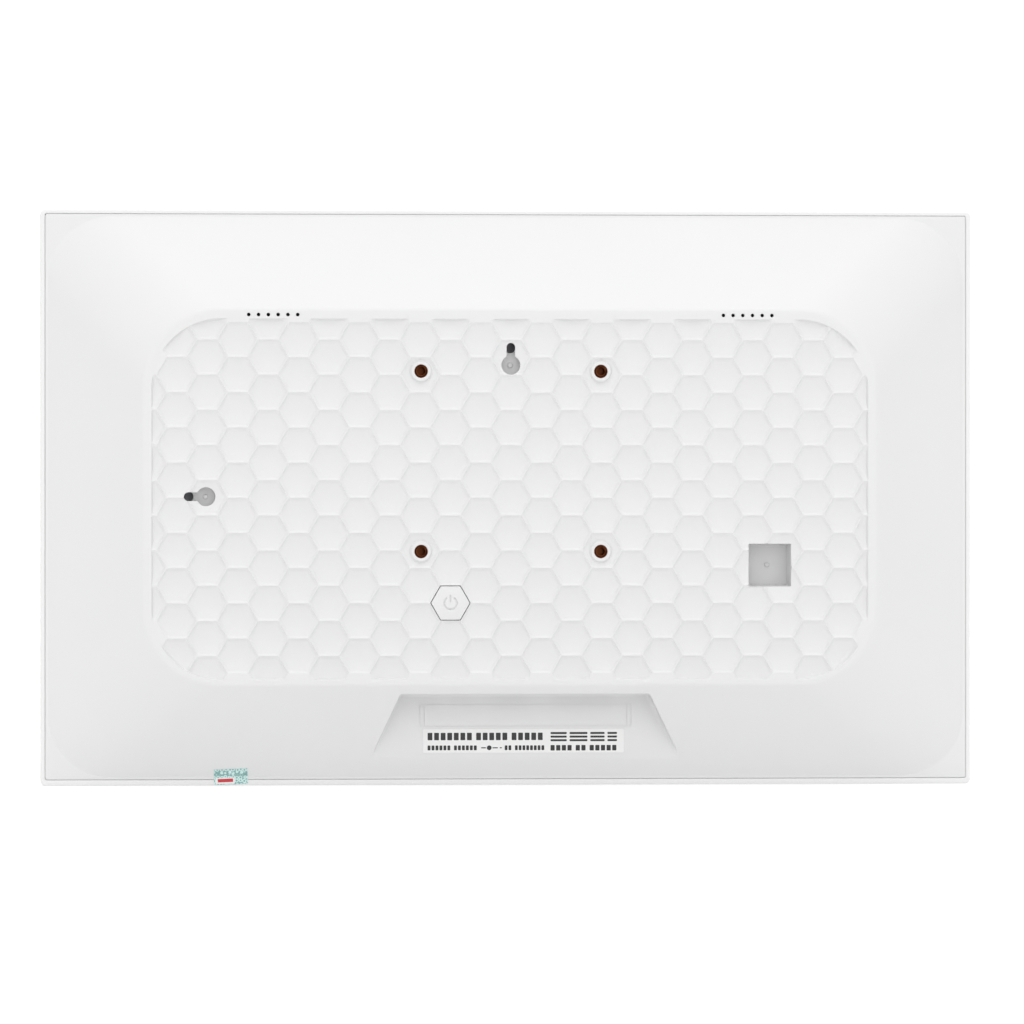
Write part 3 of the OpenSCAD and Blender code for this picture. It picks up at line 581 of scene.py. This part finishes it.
def dome_rise(t):
    """The depth of the dome's slope, from its base at 0 to its shoulder at 1."""
    return RIM + (BACK - RIM) * ((1 - SLOPE_HOLLOW) * t + SLOPE_HOLLOW * t * t)


def lower_slope(z):
    """The depth of the dome's lower slope at a height, clear of its corners."""
    foot = COVER_Z - COVER_H / 2 + DOME_EDGE
    top = MIDDLE - TOP_H / 2
    t = np.clip((np.asarray(z, float) - foot) / (top - foot), 0, 1)
    return dome_rise(t)


def cell_centres():
    """The middles of all the hexagonal cells that touch the dimpled field."""
    columns = int(FIELD_W / 2 / CELL_STEP) + 2
    rows = int(FIELD_H / 2 / CELL) + 2
    return np.array([
        (column * CELL_STEP, MIDDLE + (row + (column % 2) / 2) * CELL)
        for column in range(-columns, columns + 1) for row in range(-rows, rows + 1)
    ])


def inside_cell(dx, dz):
    """How far a point is inside its cell's hexagon, from its offset from the cell's middle."""
    slant = np.abs(dx) * math.cos(math.radians(30)) + np.abs(dz) / 2
    return CELL / 2 - np.maximum(np.abs(dz), slant)


def dish_depth(x, z):
    """How deep the cells are at a point: a shallow bowl inside each ridge's short steep flank."""
    column = np.round(x / CELL_STEP)
    best = np.full(np.shape(x), 1e9)
    dx, dz = np.zeros_like(best), np.zeros_like(best)
    for step in (-1, 0, 1):
        c = column + step
        shift = np.mod(c, 2) / 2
        row = np.round((z - MIDDLE) / CELL - shift)
        ex, ez = x - c * CELL_STEP, z - MIDDLE - (row + shift) * CELL
        near = ex ** 2 + ez ** 2 < best
        best = np.where(near, ex ** 2 + ez ** 2, best)
        dx, dz = np.where(near, ex, dx), np.where(near, ez, dz)
    flank = np.clip((inside_cell(dx, dz) - RIDGE_TOP) / (RIDGE_FOOT - RIDGE_TOP), 0, 1)
    bowl = BOWL * np.maximum(1 - best / CELL_SIDE ** 2, 0)
    return np.where(inside_field(x - dx, z - dz) > -CELL_OUT, flank * (RIDGE_H + bowl), 0)


def inside_field(x, z):
    """How far a point is inside the dimpled field's border."""
    ax = np.abs(x) - (FIELD_W / 2 - FIELD_R)
    az = np.abs(z - FIELD_Z) - (FIELD_H / 2 - FIELD_R)
    corner = np.hypot(np.maximum(ax, 0), np.maximum(az, 0)) + np.minimum(np.maximum(ax, az), 0)
    return FIELD_R - corner


def bosses():
    """The middles of the four threaded inserts."""
    return [(sx * INSERT_X, z) for sx in (-1, 1) for z in INSERT_Z]


def field_depth(x, z):
    """The depth of the dome's flat, with its dishes, border wall and bosses."""
    dish = dish_depth(x, z)
    dish = np.minimum(dish, np.maximum(inside_field(x, z), 0) * WALL_SLOPE)
    for bx, bz in bosses():
        dish = np.minimum(dish, np.maximum(np.hypot(x - bx, z - bz) - BOSS_R, 0) * WALL_SLOPE)
    return BACK - dish


def field_loops():
    """Loops that the field's mesh follows: the foot and brow of its border and of each boss."""
    loops = [
        dome_outline(FIELD_W - 2 * s, FIELD_H - 2 * s, FIELD_R - s, FIELD_Z)
        for s in (0.2, 0.4, 0.6, 0.8)
    ]
    for boss in bosses():
        loops += [circle(BOSS_R + s, boss, 72) for s in (-0.5, 0, 0.25, 0.5, 0.75)]
    return loops


def cell_points():
    """Points along the ridges and their flanks, and a coarser spread inside each cell."""
    corners = circle(1, (0, 0), 6)
    rings = []
    for edge in (0, RIDGE_TOP, RIDGE_FOOT, *FOOT_LINES):
        ring = corners * (CELL_SIDE - edge * 2 / math.sqrt(3))
        for k in range(6):
            steps = np.linspace(0, 1, 8)[:-1, None]
            rings.append(ring[k] + (ring[(k + 1) % 6] - ring[k]) * steps)
    for j in range(-4, 5):
        for i in range(-5, 6):
            point = np.array(((i + (j % 2) / 2) * BOWL_PITCH, j * BOWL_PITCH * math.sqrt(3) / 2))
            if inside_cell(*point) > BOWL_EDGE:
                rings.append(point[None])
    cell = np.concatenate(rings)
    every = (cell_centres()[:, None] + cell[None]).reshape(-1, 2)
    return np.unique(np.round(every, 3), axis=0)


def field_mesh(border):
    """Points and triangles that fill the dimpled field inside its border."""
    loops = [border] + field_loops()
    points = np.concatenate(loops)
    near = KDTree(len(points))
    for k, (x, z) in enumerate(points):
        near.insert((x, z, 0), k)
    near.balance()
    cells = cell_points()
    cells = cells[inside_field(cells[:, 0], cells[:, 1]) > 0.9]
    inner = [(x, z) for x, z in cells if near.find((x, z, 0))[2] > 0.25]
    edges, start = [], 0
    for loop in loops:
        edges += [(start + k, start + (k + 1) % len(loop)) for k in range(len(loop))]
        start += len(loop)
    every = np.concatenate([points, np.array(inner)])
    done = delaunay_2d_cdt([Vector(p) for p in every], edges, [], 1, 1e-5)
    return np.array([tuple(v) for v in done[0]]), [tuple(f) for f in done[2]], done[3]


def cover_outside():
    """The cover's outer form as a closed solid: skirt, flange, dome and dimpled flat."""
    rings = [level(dome_outline(COVER_W, COVER_H, 1, COVER_Z), SKIRT)]
    for k in range(5):
        turn = math.radians(90 * k / 4)
        inset = FLANGE_EDGE * (1 - math.cos(turn))
        outline = dome_outline(COVER_W - 2 * inset, COVER_H - 2 * inset, 1 - inset, COVER_Z)
        rings.append(level(outline, RIM - FLANGE_EDGE + FLANGE_EDGE * math.sin(turn)))
    rings.append(level(dome_ring(0), RIM))
    rings.append(level(dome_ring(0.004), RIM + 0.03))
    brow = 1 - SHOULDER / DOME_REACH
    for t in np.linspace(0.02, brow, SLOPE_RINGS):
        rings.append(level(dome_ring(t), dome_rise(t)))
    for k in range(1, 5):
        s = k / 4
        depth = (1 - s) ** 2 * dome_rise(brow) + 2 * s * (1 - s) * BACK + s * s * BACK
        rings.append(level(dome_ring(brow + s * 2 * SHOULDER / DOME_REACH), depth))
    border = dome_outline(FIELD_W, FIELD_H, FIELD_R, FIELD_Z)
    rings.append(level(border, BACK))

    count, shell = len(border), np.concatenate(rings)
    faces = bands(count, len(rings))
    faces.append(tuple(reversed(range(count))))
    flat, triangles, origins = field_mesh(border)
    field = level(flat, field_depth(flat[:, 0], flat[:, 1]))
    number = np.arange(len(flat)) + len(shell)
    first = (len(rings) - 1) * count
    for k, sources in enumerate(origins):
        shared = [s for s in sources if s < count]
        if shared:
            number[k] = first + shared[0]
    faces += [tuple(int(number[v]) for v in f) for f in triangles]
    cover = new_object("rear_cover_moulding", np.concatenate([shell, field]), faces)
    work = bmesh.new()
    work.from_mesh(cover.data)
    bmesh.ops.delete(work, geom=[v for v in work.verts if not v.link_faces], context="VERTS")
    work.to_mesh(cover.data)
    work.free()
    return cover


def flared_tool(r, middle, low, flare, count=48):
    """A drum that opens in the cover's flat back, with a small flare at its mouth."""
    mouth = ((0, low), (0, BACK - flare), (0.3 * flare, BACK - 0.3 * flare), (flare, BACK),
             (flare, BACK + PAST))
    return loft("tool", [level(circle(r + out, middle, count), depth) for out, depth in mouth])


def ring_tool(outer, inner, low, high):
    """A wall between two outlines, from one depth to another."""
    return hoop("tool", [
        level(outer, low), level(outer, high), level(inner, high), level(inner, low),
    ])


def cover_hollow():
    """The space inside the cover, less the posts and walls that stand in it."""
    inner_w, inner_h = COVER_W - 2 * SKIRT_T, COVER_H - 2 * SKIRT_T
    flange = RIM - FLANGE_T
    hollow = loft("hollow", [
        level(dome_outline(inner_w, inner_h, 0.5, COVER_Z), SKIRT - PAST),
        level(dome_outline(inner_w, inner_h, 0.5, COVER_Z), flange),
        level(dome_outline(inner_w - 0.4, inner_h - 0.4, DOME_R, COVER_Z), flange + 0.01),
        level(dome_outline(TOP_W - 2, TOP_H - 2, TOP_R, MIDDLE), INSIDE),
    ])
    posts = [circle(POST_R, boss) for boss in bosses()]
    ribs = [prism(post, INSERT_LOW[1] - POST_FLOOR, BACK) for post in posts]
    for middle, turn in KEYHOLES:
        outline = keyhole(middle, KEYHOLE_R, CUP_SLOT, turn, CUP_MARGIN + CUP_T)
        ribs.append(prism(outline, CUP_FLOOR - CUP_T, BACK))
    half = SOCKET_W / 2 + SOCKET_T
    square = [(SOCKET_X + x, SOCKET_Z + z)
              for x, z in ((-half, -half), (half, -half), (half, half), (-half, half))]
    ribs.append(prism(square, BACK - SOCKET_D - SOCKET_T, BACK))
    guide = (BUTTON_X, BUTTON_Z)
    ribs.append(ring_tool(circle(GUIDE_OUT_R, guide), circle(GUIDE_R, guide), GUIDE_FRONT, BACK))
    for side in (-1, 1):
        middle = (side * SPEAKER_X, SPEAKER_Z)
        inner = rounded(CHAMBER_W - 2 * CHAMBER_T, CHAMBER_H - 2 * CHAMBER_T, 0.5, middle)
        ribs.append(ring_tool(rounded(CHAMBER_W, CHAMBER_H, 1, middle), inner, CHAMBER_FRONT, BACK))
    casing = np.array(RECESS) + [(-RECESS_WALL, 0), (RECESS_WALL, 0), (RECESS_WALL, RECESS_WALL),
                                 (-RECESS_WALL, RECESS_WALL)]
    ribs.append(prism(casing, RECESS_FLOOR - RECESS_WALL, BACK))
    return combine(hollow, ribs)


def recess_tool():
    """Cuts the port recess, with a round fillet at its floor and a soft brow."""
    rings = []
    for k in range(9):
        turn = math.radians(90 * k / 8)
        rings.append(level(grown_soft(-FILLET * (1 - math.sin(turn))),
                           RECESS_FLOOR + FILLET * (1 - math.cos(turn))))
    for k in range(4):
        turn = math.radians(90 * k / 3)
        outline = grown_soft(BROW * (1 - math.cos(turn)))
        surface = np.maximum(lower_slope(outline[:, 1]), RECESS_FLOOR + FILLET + 0.05)
        rings.append(level(outline, surface - BROW * (1 - math.sin(turn)) + 0.02))
    rings.append(level(grown_soft(BROW), BACK + 3))
    return loft("tool", rings)


def grown_soft(by):
    """The recess's outline, run on below its foot, grown and with soft corners."""
    (left, foot), (right, _), (top_right, top), (top_left, _) = RECESS
    run = 2 * FILLET / (top - foot)
    outline = ((left + (left - top_left) * run, foot - 2 * FILLET),
               (right + (right - top_right) * run, foot - 2 * FILLET),
               (top_right, top), (top_left, top))
    return softened(grown(outline, by), 1.2)


def port_tools():
    """Openings in the recess's upper wall, one for each port's nose."""
    outlines = []
    for node, front in FLAT_PORTS:
        low, high = span(node)
        outlines.append(rounded(
            high[0] - low[0] + 2 * PORT_GAP, high[1] - front + 2 * PORT_GAP, 0.6,
            ((low[0] + high[0]) / 2, (front + high[1]) / 2),
        ))
    outlines += [circle(nose + PORT_GAP, place) for nose, place in ROUND_PORTS]
    return [
        loft("tool", [upright(outline, PORT_WALL - 3), upright(outline, PORT_WALL + 3)])
        for outline in outlines
    ]


def keyhole_tools(middle, turn):
    """A keyhole's opening, its pocket, and the hole in the pocket's floor behind the slot."""
    opening = loft("tool", [
        level(keyhole(middle, KEYHOLE_R, KEYHOLE_SLOT, turn, grow), depth)
        for grow, depth in ((0, INSIDE - 0.5), (0, BACK - 0.55), (0.1, BACK - 0.25), (0.35, BACK),
                            (0.35, BACK + PAST))
    ])
    pocket = keyhole(middle, KEYHOLE_R, CUP_SLOT, turn, CUP_MARGIN)
    pocket = prism(pocket, CUP_FLOOR, INSIDE)
    way = math.radians(turn)
    end = (middle[0] + KEYHOLE_RUN * math.cos(way), middle[1] + KEYHOLE_RUN * math.sin(way))
    hole = prism(circle(CUP_HOLE_R, end), CUP_FLOOR - 2, CUP_FLOOR + 0.5)
    return [opening, hole, combine(pocket, [pip_tool(1.1, middle, CUP_FLOOR, 0.8)])]


def socket_tool():
    """The stand's socket: a drafted square hole with a round pip on its floor."""
    place = (SOCKET_X, SOCKET_Z)
    socket = loft("tool", [
        level(rounded(SOCKET_W + wider, SOCKET_W + wider, 0.5, place), depth)
        for wider, depth in ((-SOCKET_DRAFT, BACK - SOCKET_D), (0, BACK - 0.4),
                             (0.3, BACK - 0.1), (0.3, BACK + PAST))
    ])
    return combine(socket, [pip_tool(1.0, place, BACK - SOCKET_D, 1.0)])


def button_hole_tool():
    """The hexagonal hole that the power button moves in, with a soft edge."""
    hole = BUTTON_AF + 2 * BUTTON_GAP
    return loft("tool", [
        level(hexagon(hole + wider, (BUTTON_X, BUTTON_Z)), depth)
        for wider, depth in ((0, INSIDE - PAST), (0, BACK - 0.3), (0.35, BACK),
                             (0.35, BACK + PAST))
    ])


def cover_cuts():
    """Everything that is open in the cover's outer face."""
    cuts = [recess_tool(), *port_tools()]
    cuts += [flared_tool(INSERT_R, boss, INSERT_LOW[1], 0.25) for boss in bosses()]
    for middle, turn in KEYHOLES:
        cuts += keyhole_tools(middle, turn)
    cuts += [socket_tool(), button_hole_tool()]
    for side in (-1, 1):
        for k in range(SOUND_COUNT):
            x = side * SPEAKER_X + (k - (SOUND_COUNT - 1) / 2) * SOUND_PITCH
            cuts.append(flared_tool(SOUND_R, (x, SOUND_Z), INSIDE - PAST, 0.15, 24))
    for wide in INSET_WIDTHS:
        outer = rounded(wide, INSET_H, 0.3, INSET)
        inner = rounded(wide - INSET_LINE, INSET_H - INSET_LINE, 0.1, INSET)
        cuts.append(ring_tool(outer, inner, RECESS_FLOOR - 0.2, RECESS_FLOOR + 0.5))
    return cuts


def pip_tool(r, middle, floor, height):
    """A small round pip with a domed end, standing on a floor."""
    rings = [level(circle(r, middle, 24), floor - 1)]
    for k in range(4):
        turn = math.radians(80 * k / 3)
        rings.append(level(circle(r * (0.55 + 0.45 * math.cos(turn)), middle, 24),
                           floor + height * (0.4 + 0.6 * math.sin(turn))))
    return loft("tool", rings)


def rear_cover():
    """The back cover: one moulding, hollow, with everything that opens in its face."""
    cover = cover_outside()
    combine(cover, [cover_hollow(), *cover_cuts()])
    without_slivers(cover)
    smooth(cover, 32)
    finished(cover, WHITE, "case", "white_plastic", "rear_cover")


# ---- Front bezel ----

def front_bezel():
    """The bezel: a hoop swept through window, front face, outer wall, rim and well."""
    def around(w, h, r, z, depth):
        return level(rounded(w, h, r, (0, z), 10, 40, 24), depth)

    face = BEZEL_T - WINDOW_LIP
    rings = [around(WINDOW_W, WINDOW_H, WINDOW_R, MIDDLE, depth) for depth in (BEZEL_T, face)]
    for k in range(5):
        turn = math.radians(90 * k / 4)
        grow = WINDOW_BEVEL * (1 - math.cos(turn) * 0.999)
        rings.append(around(WINDOW_W + 2 * grow, WINDOW_H + 2 * grow, WINDOW_R + grow, MIDDLE,
                            (face - 0.05) * (1 - math.sin(turn))))
    edges = []
    for k in range(6):
        turn = math.radians(90 * k / 5)
        edges.append((FRONT_EDGE * (1 - math.sin(turn)), FRONT_EDGE * (1 - math.cos(turn))))
    for k in range(6):
        turn = math.radians(90 * k / 5)
        rise = REAR_EDGE * math.sin(turn)
        edges.append((REAR_EDGE * (1 - math.cos(turn)), RIM - REAR_EDGE + rise))
    for inset, depth in edges:
        rings.append(around(FRAME_W - 2 * inset, FRAME_H - 2 * inset, FRAME_R - inset, MIDDLE,
                            depth))
    for k in range(5):
        turn = math.radians(90 * k / 4)
        out = RIM_EDGE * (1 - math.sin(turn))
        rings.append(around(WELL_W + 2 * out, WELL_H + 2 * out, 1 + out, COVER_Z,
                            RIM - RIM_EDGE * (1 - math.cos(turn))))
    for bead, r, depth in ((0, 1, RIM - 0.5), (0.3, 0.9, RIM - 0.55), (0.3, 0.9, RIM - 2),
                           (0, 1, RIM - 2.1), (0, 1, BEZEL_T)):
        rings.append(around(WELL_W - bead, WELL_H - bead, r, COVER_Z, depth))
    bezel = hoop("front_bezel_moulding", rings)
    smooth(bezel, 35)
    finished(bezel, RIM_WHITE, "case", "white_plastic", "front_bezel")


# ---- Power button ----

def power_symbol():
    """Cutters for the power symbol: a broken ring and a short bar."""
    outer, inner = SYMBOL_R + SYMBOL_LINE, SYMBOL_R - SYMBOL_LINE
    arc = []
    for edge, start, end in ((outer, 125, 415), (inner, 415, 125)):
        for a in np.radians(np.linspace(start, end, 49)):
            arc.append((BUTTON_X + edge * math.cos(a), BUTTON_Z + edge * math.sin(a)))
    bar = rounded(2 * SYMBOL_LINE, 3.0, SYMBOL_LINE * 0.9, (BUTTON_X, BUTTON_Z + 1.9))
    return [prism(outline, BACK - SYMBOL_DEPTH, BACK + PAST) for outline in (arc, bar)]


def power_button():
    """The button: a soft-edged hexagonal cap with a lip, a stem and an engraved symbol."""
    lip_low, lip_high = BUTTON_LIP
    lip_af = BUTTON_AF + 2 * BUTTON_LIP_OUT

    def hexed(af, depth, r=0.6):
        return level(hexagon(af, (BUTTON_X, BUTTON_Z), r), depth)

    cap = loft("power_button_cap", [
        hexed(lip_af, lip_low), hexed(lip_af, lip_high - 0.1),
        hexed(lip_af - 0.2, lip_high), hexed(BUTTON_AF, lip_high + 0.01),
        hexed(BUTTON_AF, BACK - 0.35), hexed(BUTTON_AF - 0.08, BACK - 0.16),
        hexed(BUTTON_AF - 0.28, BACK - 0.04), hexed(BUTTON_AF - 0.6, BACK, 0.45),
    ])
    combine(cap, power_symbol())
    stem = prism(circle(STEM_R, (BUTTON_X, BUTTON_Z)), BUTTON_LOW[1], lip_low + 0.2)
    combine(cap, [stem], "UNION")
    smooth(cap, 32)
    finished(cap, WHITE, "button", "white_plastic", "power_button")


# ---- Threaded inserts ----

def threaded_insert(name, middle):
    """A blind brass insert: a helical M4 thread, a chamfered mouth and a knurled outside."""
    low, high = INSERT_LOW[1], INSERT_HIGH[1]
    count, turns = 48, 66
    angles = np.arange(count) * 2 * math.pi / count
    rings = []

    def ring(radii, depth):
        radii = np.broadcast_to(radii, count)
        rings.append(np.stack([middle[0] + radii * np.cos(angles), np.full(count, depth),
                               middle[1] + radii * np.sin(angles)], axis=1))

    ring(INSERT_R, low)
    for depth, knurl in ((low + 1.0, 0), (low + 1.1, 0.12), (high - 1.1, 0.12), (high - 1.0, 0)):
        ring(INSERT_R - knurl * (np.arange(count) % 2), depth)
    ring(INSERT_R, high - 0.12)
    ring(INSERT_R - 0.12, high)
    ring(INSERT_R - 0.25, high)
    mouth = high - 0.7
    ring(BORE_R + THREAD_DEPTH + 0.05, mouth)
    for depth in np.linspace(mouth - 0.02, low + 0.8, turns + 1):
        phase = (depth - low) / THREAD_PITCH - angles / (2 * math.pi)
        ring(BORE_R + THREAD_DEPTH * np.abs((phase % 1.0) - 0.5) * 2, depth)
    return loft(name, rings)


def threaded_inserts():
    """The four inserts of the wall mount, as one piece of four solids."""
    parts = [threaded_insert(f"insert_{k}", middle) for k, middle in enumerate(bosses())]
    work = bmesh.new()
    for part in parts:
        work.from_mesh(part.data)
    mesh = bpy.data.meshes.new("threaded_brass_inserts")
    work.to_mesh(mesh)
    work.free()
    for part in parts:
        bpy.data.objects.remove(part)
    inserts = smooth(link(mesh, "threaded_brass_inserts"), 40)
    finished(inserts, BRASS, "case", "brass", "threaded_inserts")


# ---- Rating label and tamper sticker ----

def printed(name, marks, low, high):
    """Thin raised marks, as one piece, from outlines."""
    points, faces = [], []
    for mark in marks:
        start = sum(len(p) for p in points)
        count = len(mark)
        points += [level(mark, low), level(mark, high)]
        faces += [tuple(start + v for v in f) for f in bands(count, 2)]
        faces.append(tuple(start + v for v in reversed(range(count))))
        faces.append(tuple(start + count + v for v in range(count)))
    return new_object(name, np.concatenate(points), faces)


def rating_label():
    """The label in the port recess, with plain bars where a label has its lines of print."""
    (low_x, floor, low_z), (high_x, top, high_z) = LABEL_LOW, LABEL_HIGH
    outline = rounded(high_x - low_x, high_z - low_z, 0.6,
                      ((low_x + high_x) / 2, (low_z + high_z) / 2))
    label = smooth(prism(outline, floor, top, "rating_label_paper"))
    finished(label, LABEL, "case", "label", "rating_label")

    marks = []

    def row(x, z, tall, words, wide, gap):
        for letters in words:
            for _ in range(letters):
                marks.append(rounded(wide, tall, 0.25, (x - wide / 2, z)))
                x -= wide + gap
            x -= 1.1

    left = high_x - 1.9
    row(left, high_z - 3.1, 3.1, (7, 5, 5), 2.0, 0.75)
    row(left, low_z + 2.05, 2.0, (6, 6), 1.2, 0.46)
    row(left - 32.3, low_z + 2.05, 2.0, (2, 8), 1.15, 0.44)
    for x, wide in ((left - 22.4, 2.0), (left - 27.2, 2.2), (left - 30.2, 0.9)):
        marks.append(rounded(wide, 0.45, 0.2, (x - wide / 2, low_z + 2.05)))
    marks.append(circle(1.0, (left - 25.8, low_z + 2.05), 24))
    row(left - 51.5, low_z + 2.0, 2.3, (4, 2, 5), 1.75, 0.62)
    x = left - 51.5
    for wide in (6.8, 7.5, 6.0, 4.0):
        for bar in range(3):
            marks.append(rounded(wide, 0.85, 0.3, (x - wide / 2, high_z - 1.75 - 1.5 * bar)))
        x -= wide + 1.2
    bars = printed("rating_label_print", marks, top - 0.02, top + 0.02)
    finished(bars, INK, "case", "label")


def sticker_sheet(name, across, up, lift, thick):
    """A sheet on the sticker's slanting place, laid over the rim and the dome's foot."""
    turn = math.radians(STICKER_TURN)
    middle = (STICKER_LOW + STICKER_HIGH) / 2
    points = []
    for raise_by in (lift, lift + thick):
        for v in np.linspace(*up, STICKER_ROWS + 1):
            for u in np.linspace(*across, STICKER_COLUMNS + 1):
                x = middle[0] + u * math.cos(turn) + v * math.sin(turn)
                z = middle[2] - u * math.sin(turn) + v * math.cos(turn)
                surface = max(float(lower_slope(z)), RIM) + 0.03
                points.append((x, surface + raise_by, z))
    faces = []
    columns, rows = STICKER_COLUMNS, STICKER_ROWS
    width, layer = columns + 1, (columns + 1) * (rows + 1)
    for j in range(rows):
        for i in range(columns):
            a = j * width + i
            faces.append((a, a + 1, a + 1 + width, a + width))
            faces.append((a + layer, a + layer + width, a + layer + width + 1, a + layer + 1))
    ring = ([*range(columns)] + [columns + width * j for j in range(rows)]
            + [rows * width + columns - i for i in range(columns)]
            + [width * (rows - j) for j in range(rows)])
    for k, a in enumerate(ring):
        b = ring[(k + 1) % len(ring)]
        faces.append((a, b, b + layer, a + layer))
    return smooth(new_object(name, points, faces))


def tamper_sticker():
    """The sticker over the seam: paper, and a pale patch with a red bar printed on it."""
    thick, ink = 0.12, 0.015
    paper = sticker_sheet("tamper_sticker_paper", (-7.0, 7.0), (-3.2, 3.2), 0.0, thick)
    finished(paper, STICKER, "case", "sticker", "tamper_sticker")
    patch = sticker_sheet("tamper_sticker_patch", (-1.6, 6.4), (-2.9, -0.4), thick, ink)
    finished(patch, LABEL, "case", "sticker")
    bar = sticker_sheet("tamper_sticker_bar", (-0.9, 5.5), (-2.2, -0.8), thick + ink, ink)
    finished(bar, RED_INK, "case", "sticker")


# ---- Scene ----

def give_node_materials():
    """Better materials for the CAD nodes that stay as they are."""
    for material, *nodes in KEPT_NODES:
        for node in nodes:
            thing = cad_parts[node]
            if not thing.material_slots:
                thing.data.materials.append(material)
            for place in thing.material_slots:
                place.material = material


SKY = (1.235, 2.06)               # strength of the surround's light, level and overhead
SIDE_LOSS = 1.4                   # how much less of it comes from straight left and right
LEAST_LIGHT = 0.05                # no direction gives less


def stage():
    """A wide pale floor that curves up at its edge, and a soft white surround."""
    reach, lift, count, steps = 12, 1.0, 96, 8    # the first two in metres
    angles = np.arange(count) * 2 * math.pi / count
    rings = []
    for k in range(steps + 1):
        turn = math.radians(90 * k / steps)
        r, z = reach + lift * math.sin(turn), lift * (1 - math.cos(turn))
        rings.append(np.stack([r * np.cos(angles), r * np.sin(angles), np.full(count, z)], axis=1))
    mesh = bpy.data.meshes.new("floor")
    mesh.from_pydata(np.concatenate(rings).tolist(), [],
                     [tuple(range(count)), *bands(count, steps + 1)])
    floor = smooth(link(mesh, "floor"))
    material, tree, shader = nodes_for("floor")
    grain = object_noise(tree, 6, 2)
    tree.links.new(tinted(tree, grain.outputs["Fac"], (0.49, 0.49, 0.49), (0.51, 0.51, 0.51)),
                   shader.inputs["Base Color"])
    adjust(shader, Roughness=0.9, Emission_Color=(1, 1, 1, 1), Emission_Strength=0.45)
    floor.data.materials.append(material)

    world = bpy.data.worlds.new("surround")
    world.use_nodes = True
    tree = world.node_tree
    place = add_node(tree, "ShaderNodeTexCoord")
    split = add_node(tree, "ShaderNodeSeparateXYZ")
    tree.links.new(place.outputs["Generated"], split.inputs["Vector"])
    back = adjust(tree.nodes["Background"], Color=(1, 1, 1, 1))
    sides = add_node(tree, "ShaderNodeMath", operation="MULTIPLY")
    for k in (0, 1):
        tree.links.new(split.outputs["X"], sides.inputs[k])
    dimmer = add_node(tree, "ShaderNodeMath", operation="MULTIPLY_ADD")
    dimmer.inputs[1].default_value = -SIDE_LOSS
    tree.links.new(sides.outputs["Value"], dimmer.inputs[0])
    tree.links.new(between(tree, split.outputs["Z"], *SKY), dimmer.inputs[2])
    at_least = add_node(tree, "ShaderNodeMath", operation="MAXIMUM")
    at_least.inputs[1].default_value = LEAST_LIGHT
    tree.links.new(dimmer.outputs["Value"], at_least.inputs[0])
    tree.links.new(at_least.outputs["Value"], back.inputs["Strength"])
    bpy.context.scene.world = world


def area_light(name, place, target, size, power):
    """A square soft light that faces a point."""
    data = bpy.data.lights.new(name, "AREA")
    data.shape = "RECTANGLE"
    data.size, data.size_y = size
    data.energy = power
    lamp = bpy.data.objects.new(name, data)
    lamp.location = place
    lamp.rotation_euler = (Vector(target) - Vector(place)).to_track_quat("-Z", "Y").to_euler()
    bpy.context.scene.collection.objects.link(lamp)


def lights():
    """Soft light from above on both faces, so the front shows as well as the back."""
    middle = (0, 0, MIDDLE * MM)
    area_light("above_back", (0.0, 1.0, 1.7), middle, (1.8, 0.9), 1)
    area_light("above_front", (0.0, -1.0, 1.7), middle, (1.8, 0.9), 1)


def camera():
    """The photograph's view: a few degrees from straight at the back, from three metres away."""
    turn, distance = math.radians(4.6), 3.355
    view_w = 0.4284              # width that the picture takes in at the target
    target = Vector((-1.9 * MM, FRONT_Y + RIM * MM, 114.05 * MM))
    data = bpy.data.cameras.new("camera")
    data.sensor_width = 36
    data.lens = data.sensor_width * distance / view_w
    eye = bpy.data.objects.new("camera", data)
    eye.location = target + distance * Vector((math.sin(turn), math.cos(turn), 0))
    eye.rotation_euler = (math.radians(90), 0, math.pi - turn)
    bpy.context.scene.collection.objects.link(eye)
    bpy.context.scene.camera = eye


camera()
lights()
stage()
give_node_materials()
rear_cover()
front_bezel()
power_button()
threaded_inserts()
rating_label()
tamper_sticker()

bpy.context.scene.view_settings.view_transform = "Standard"
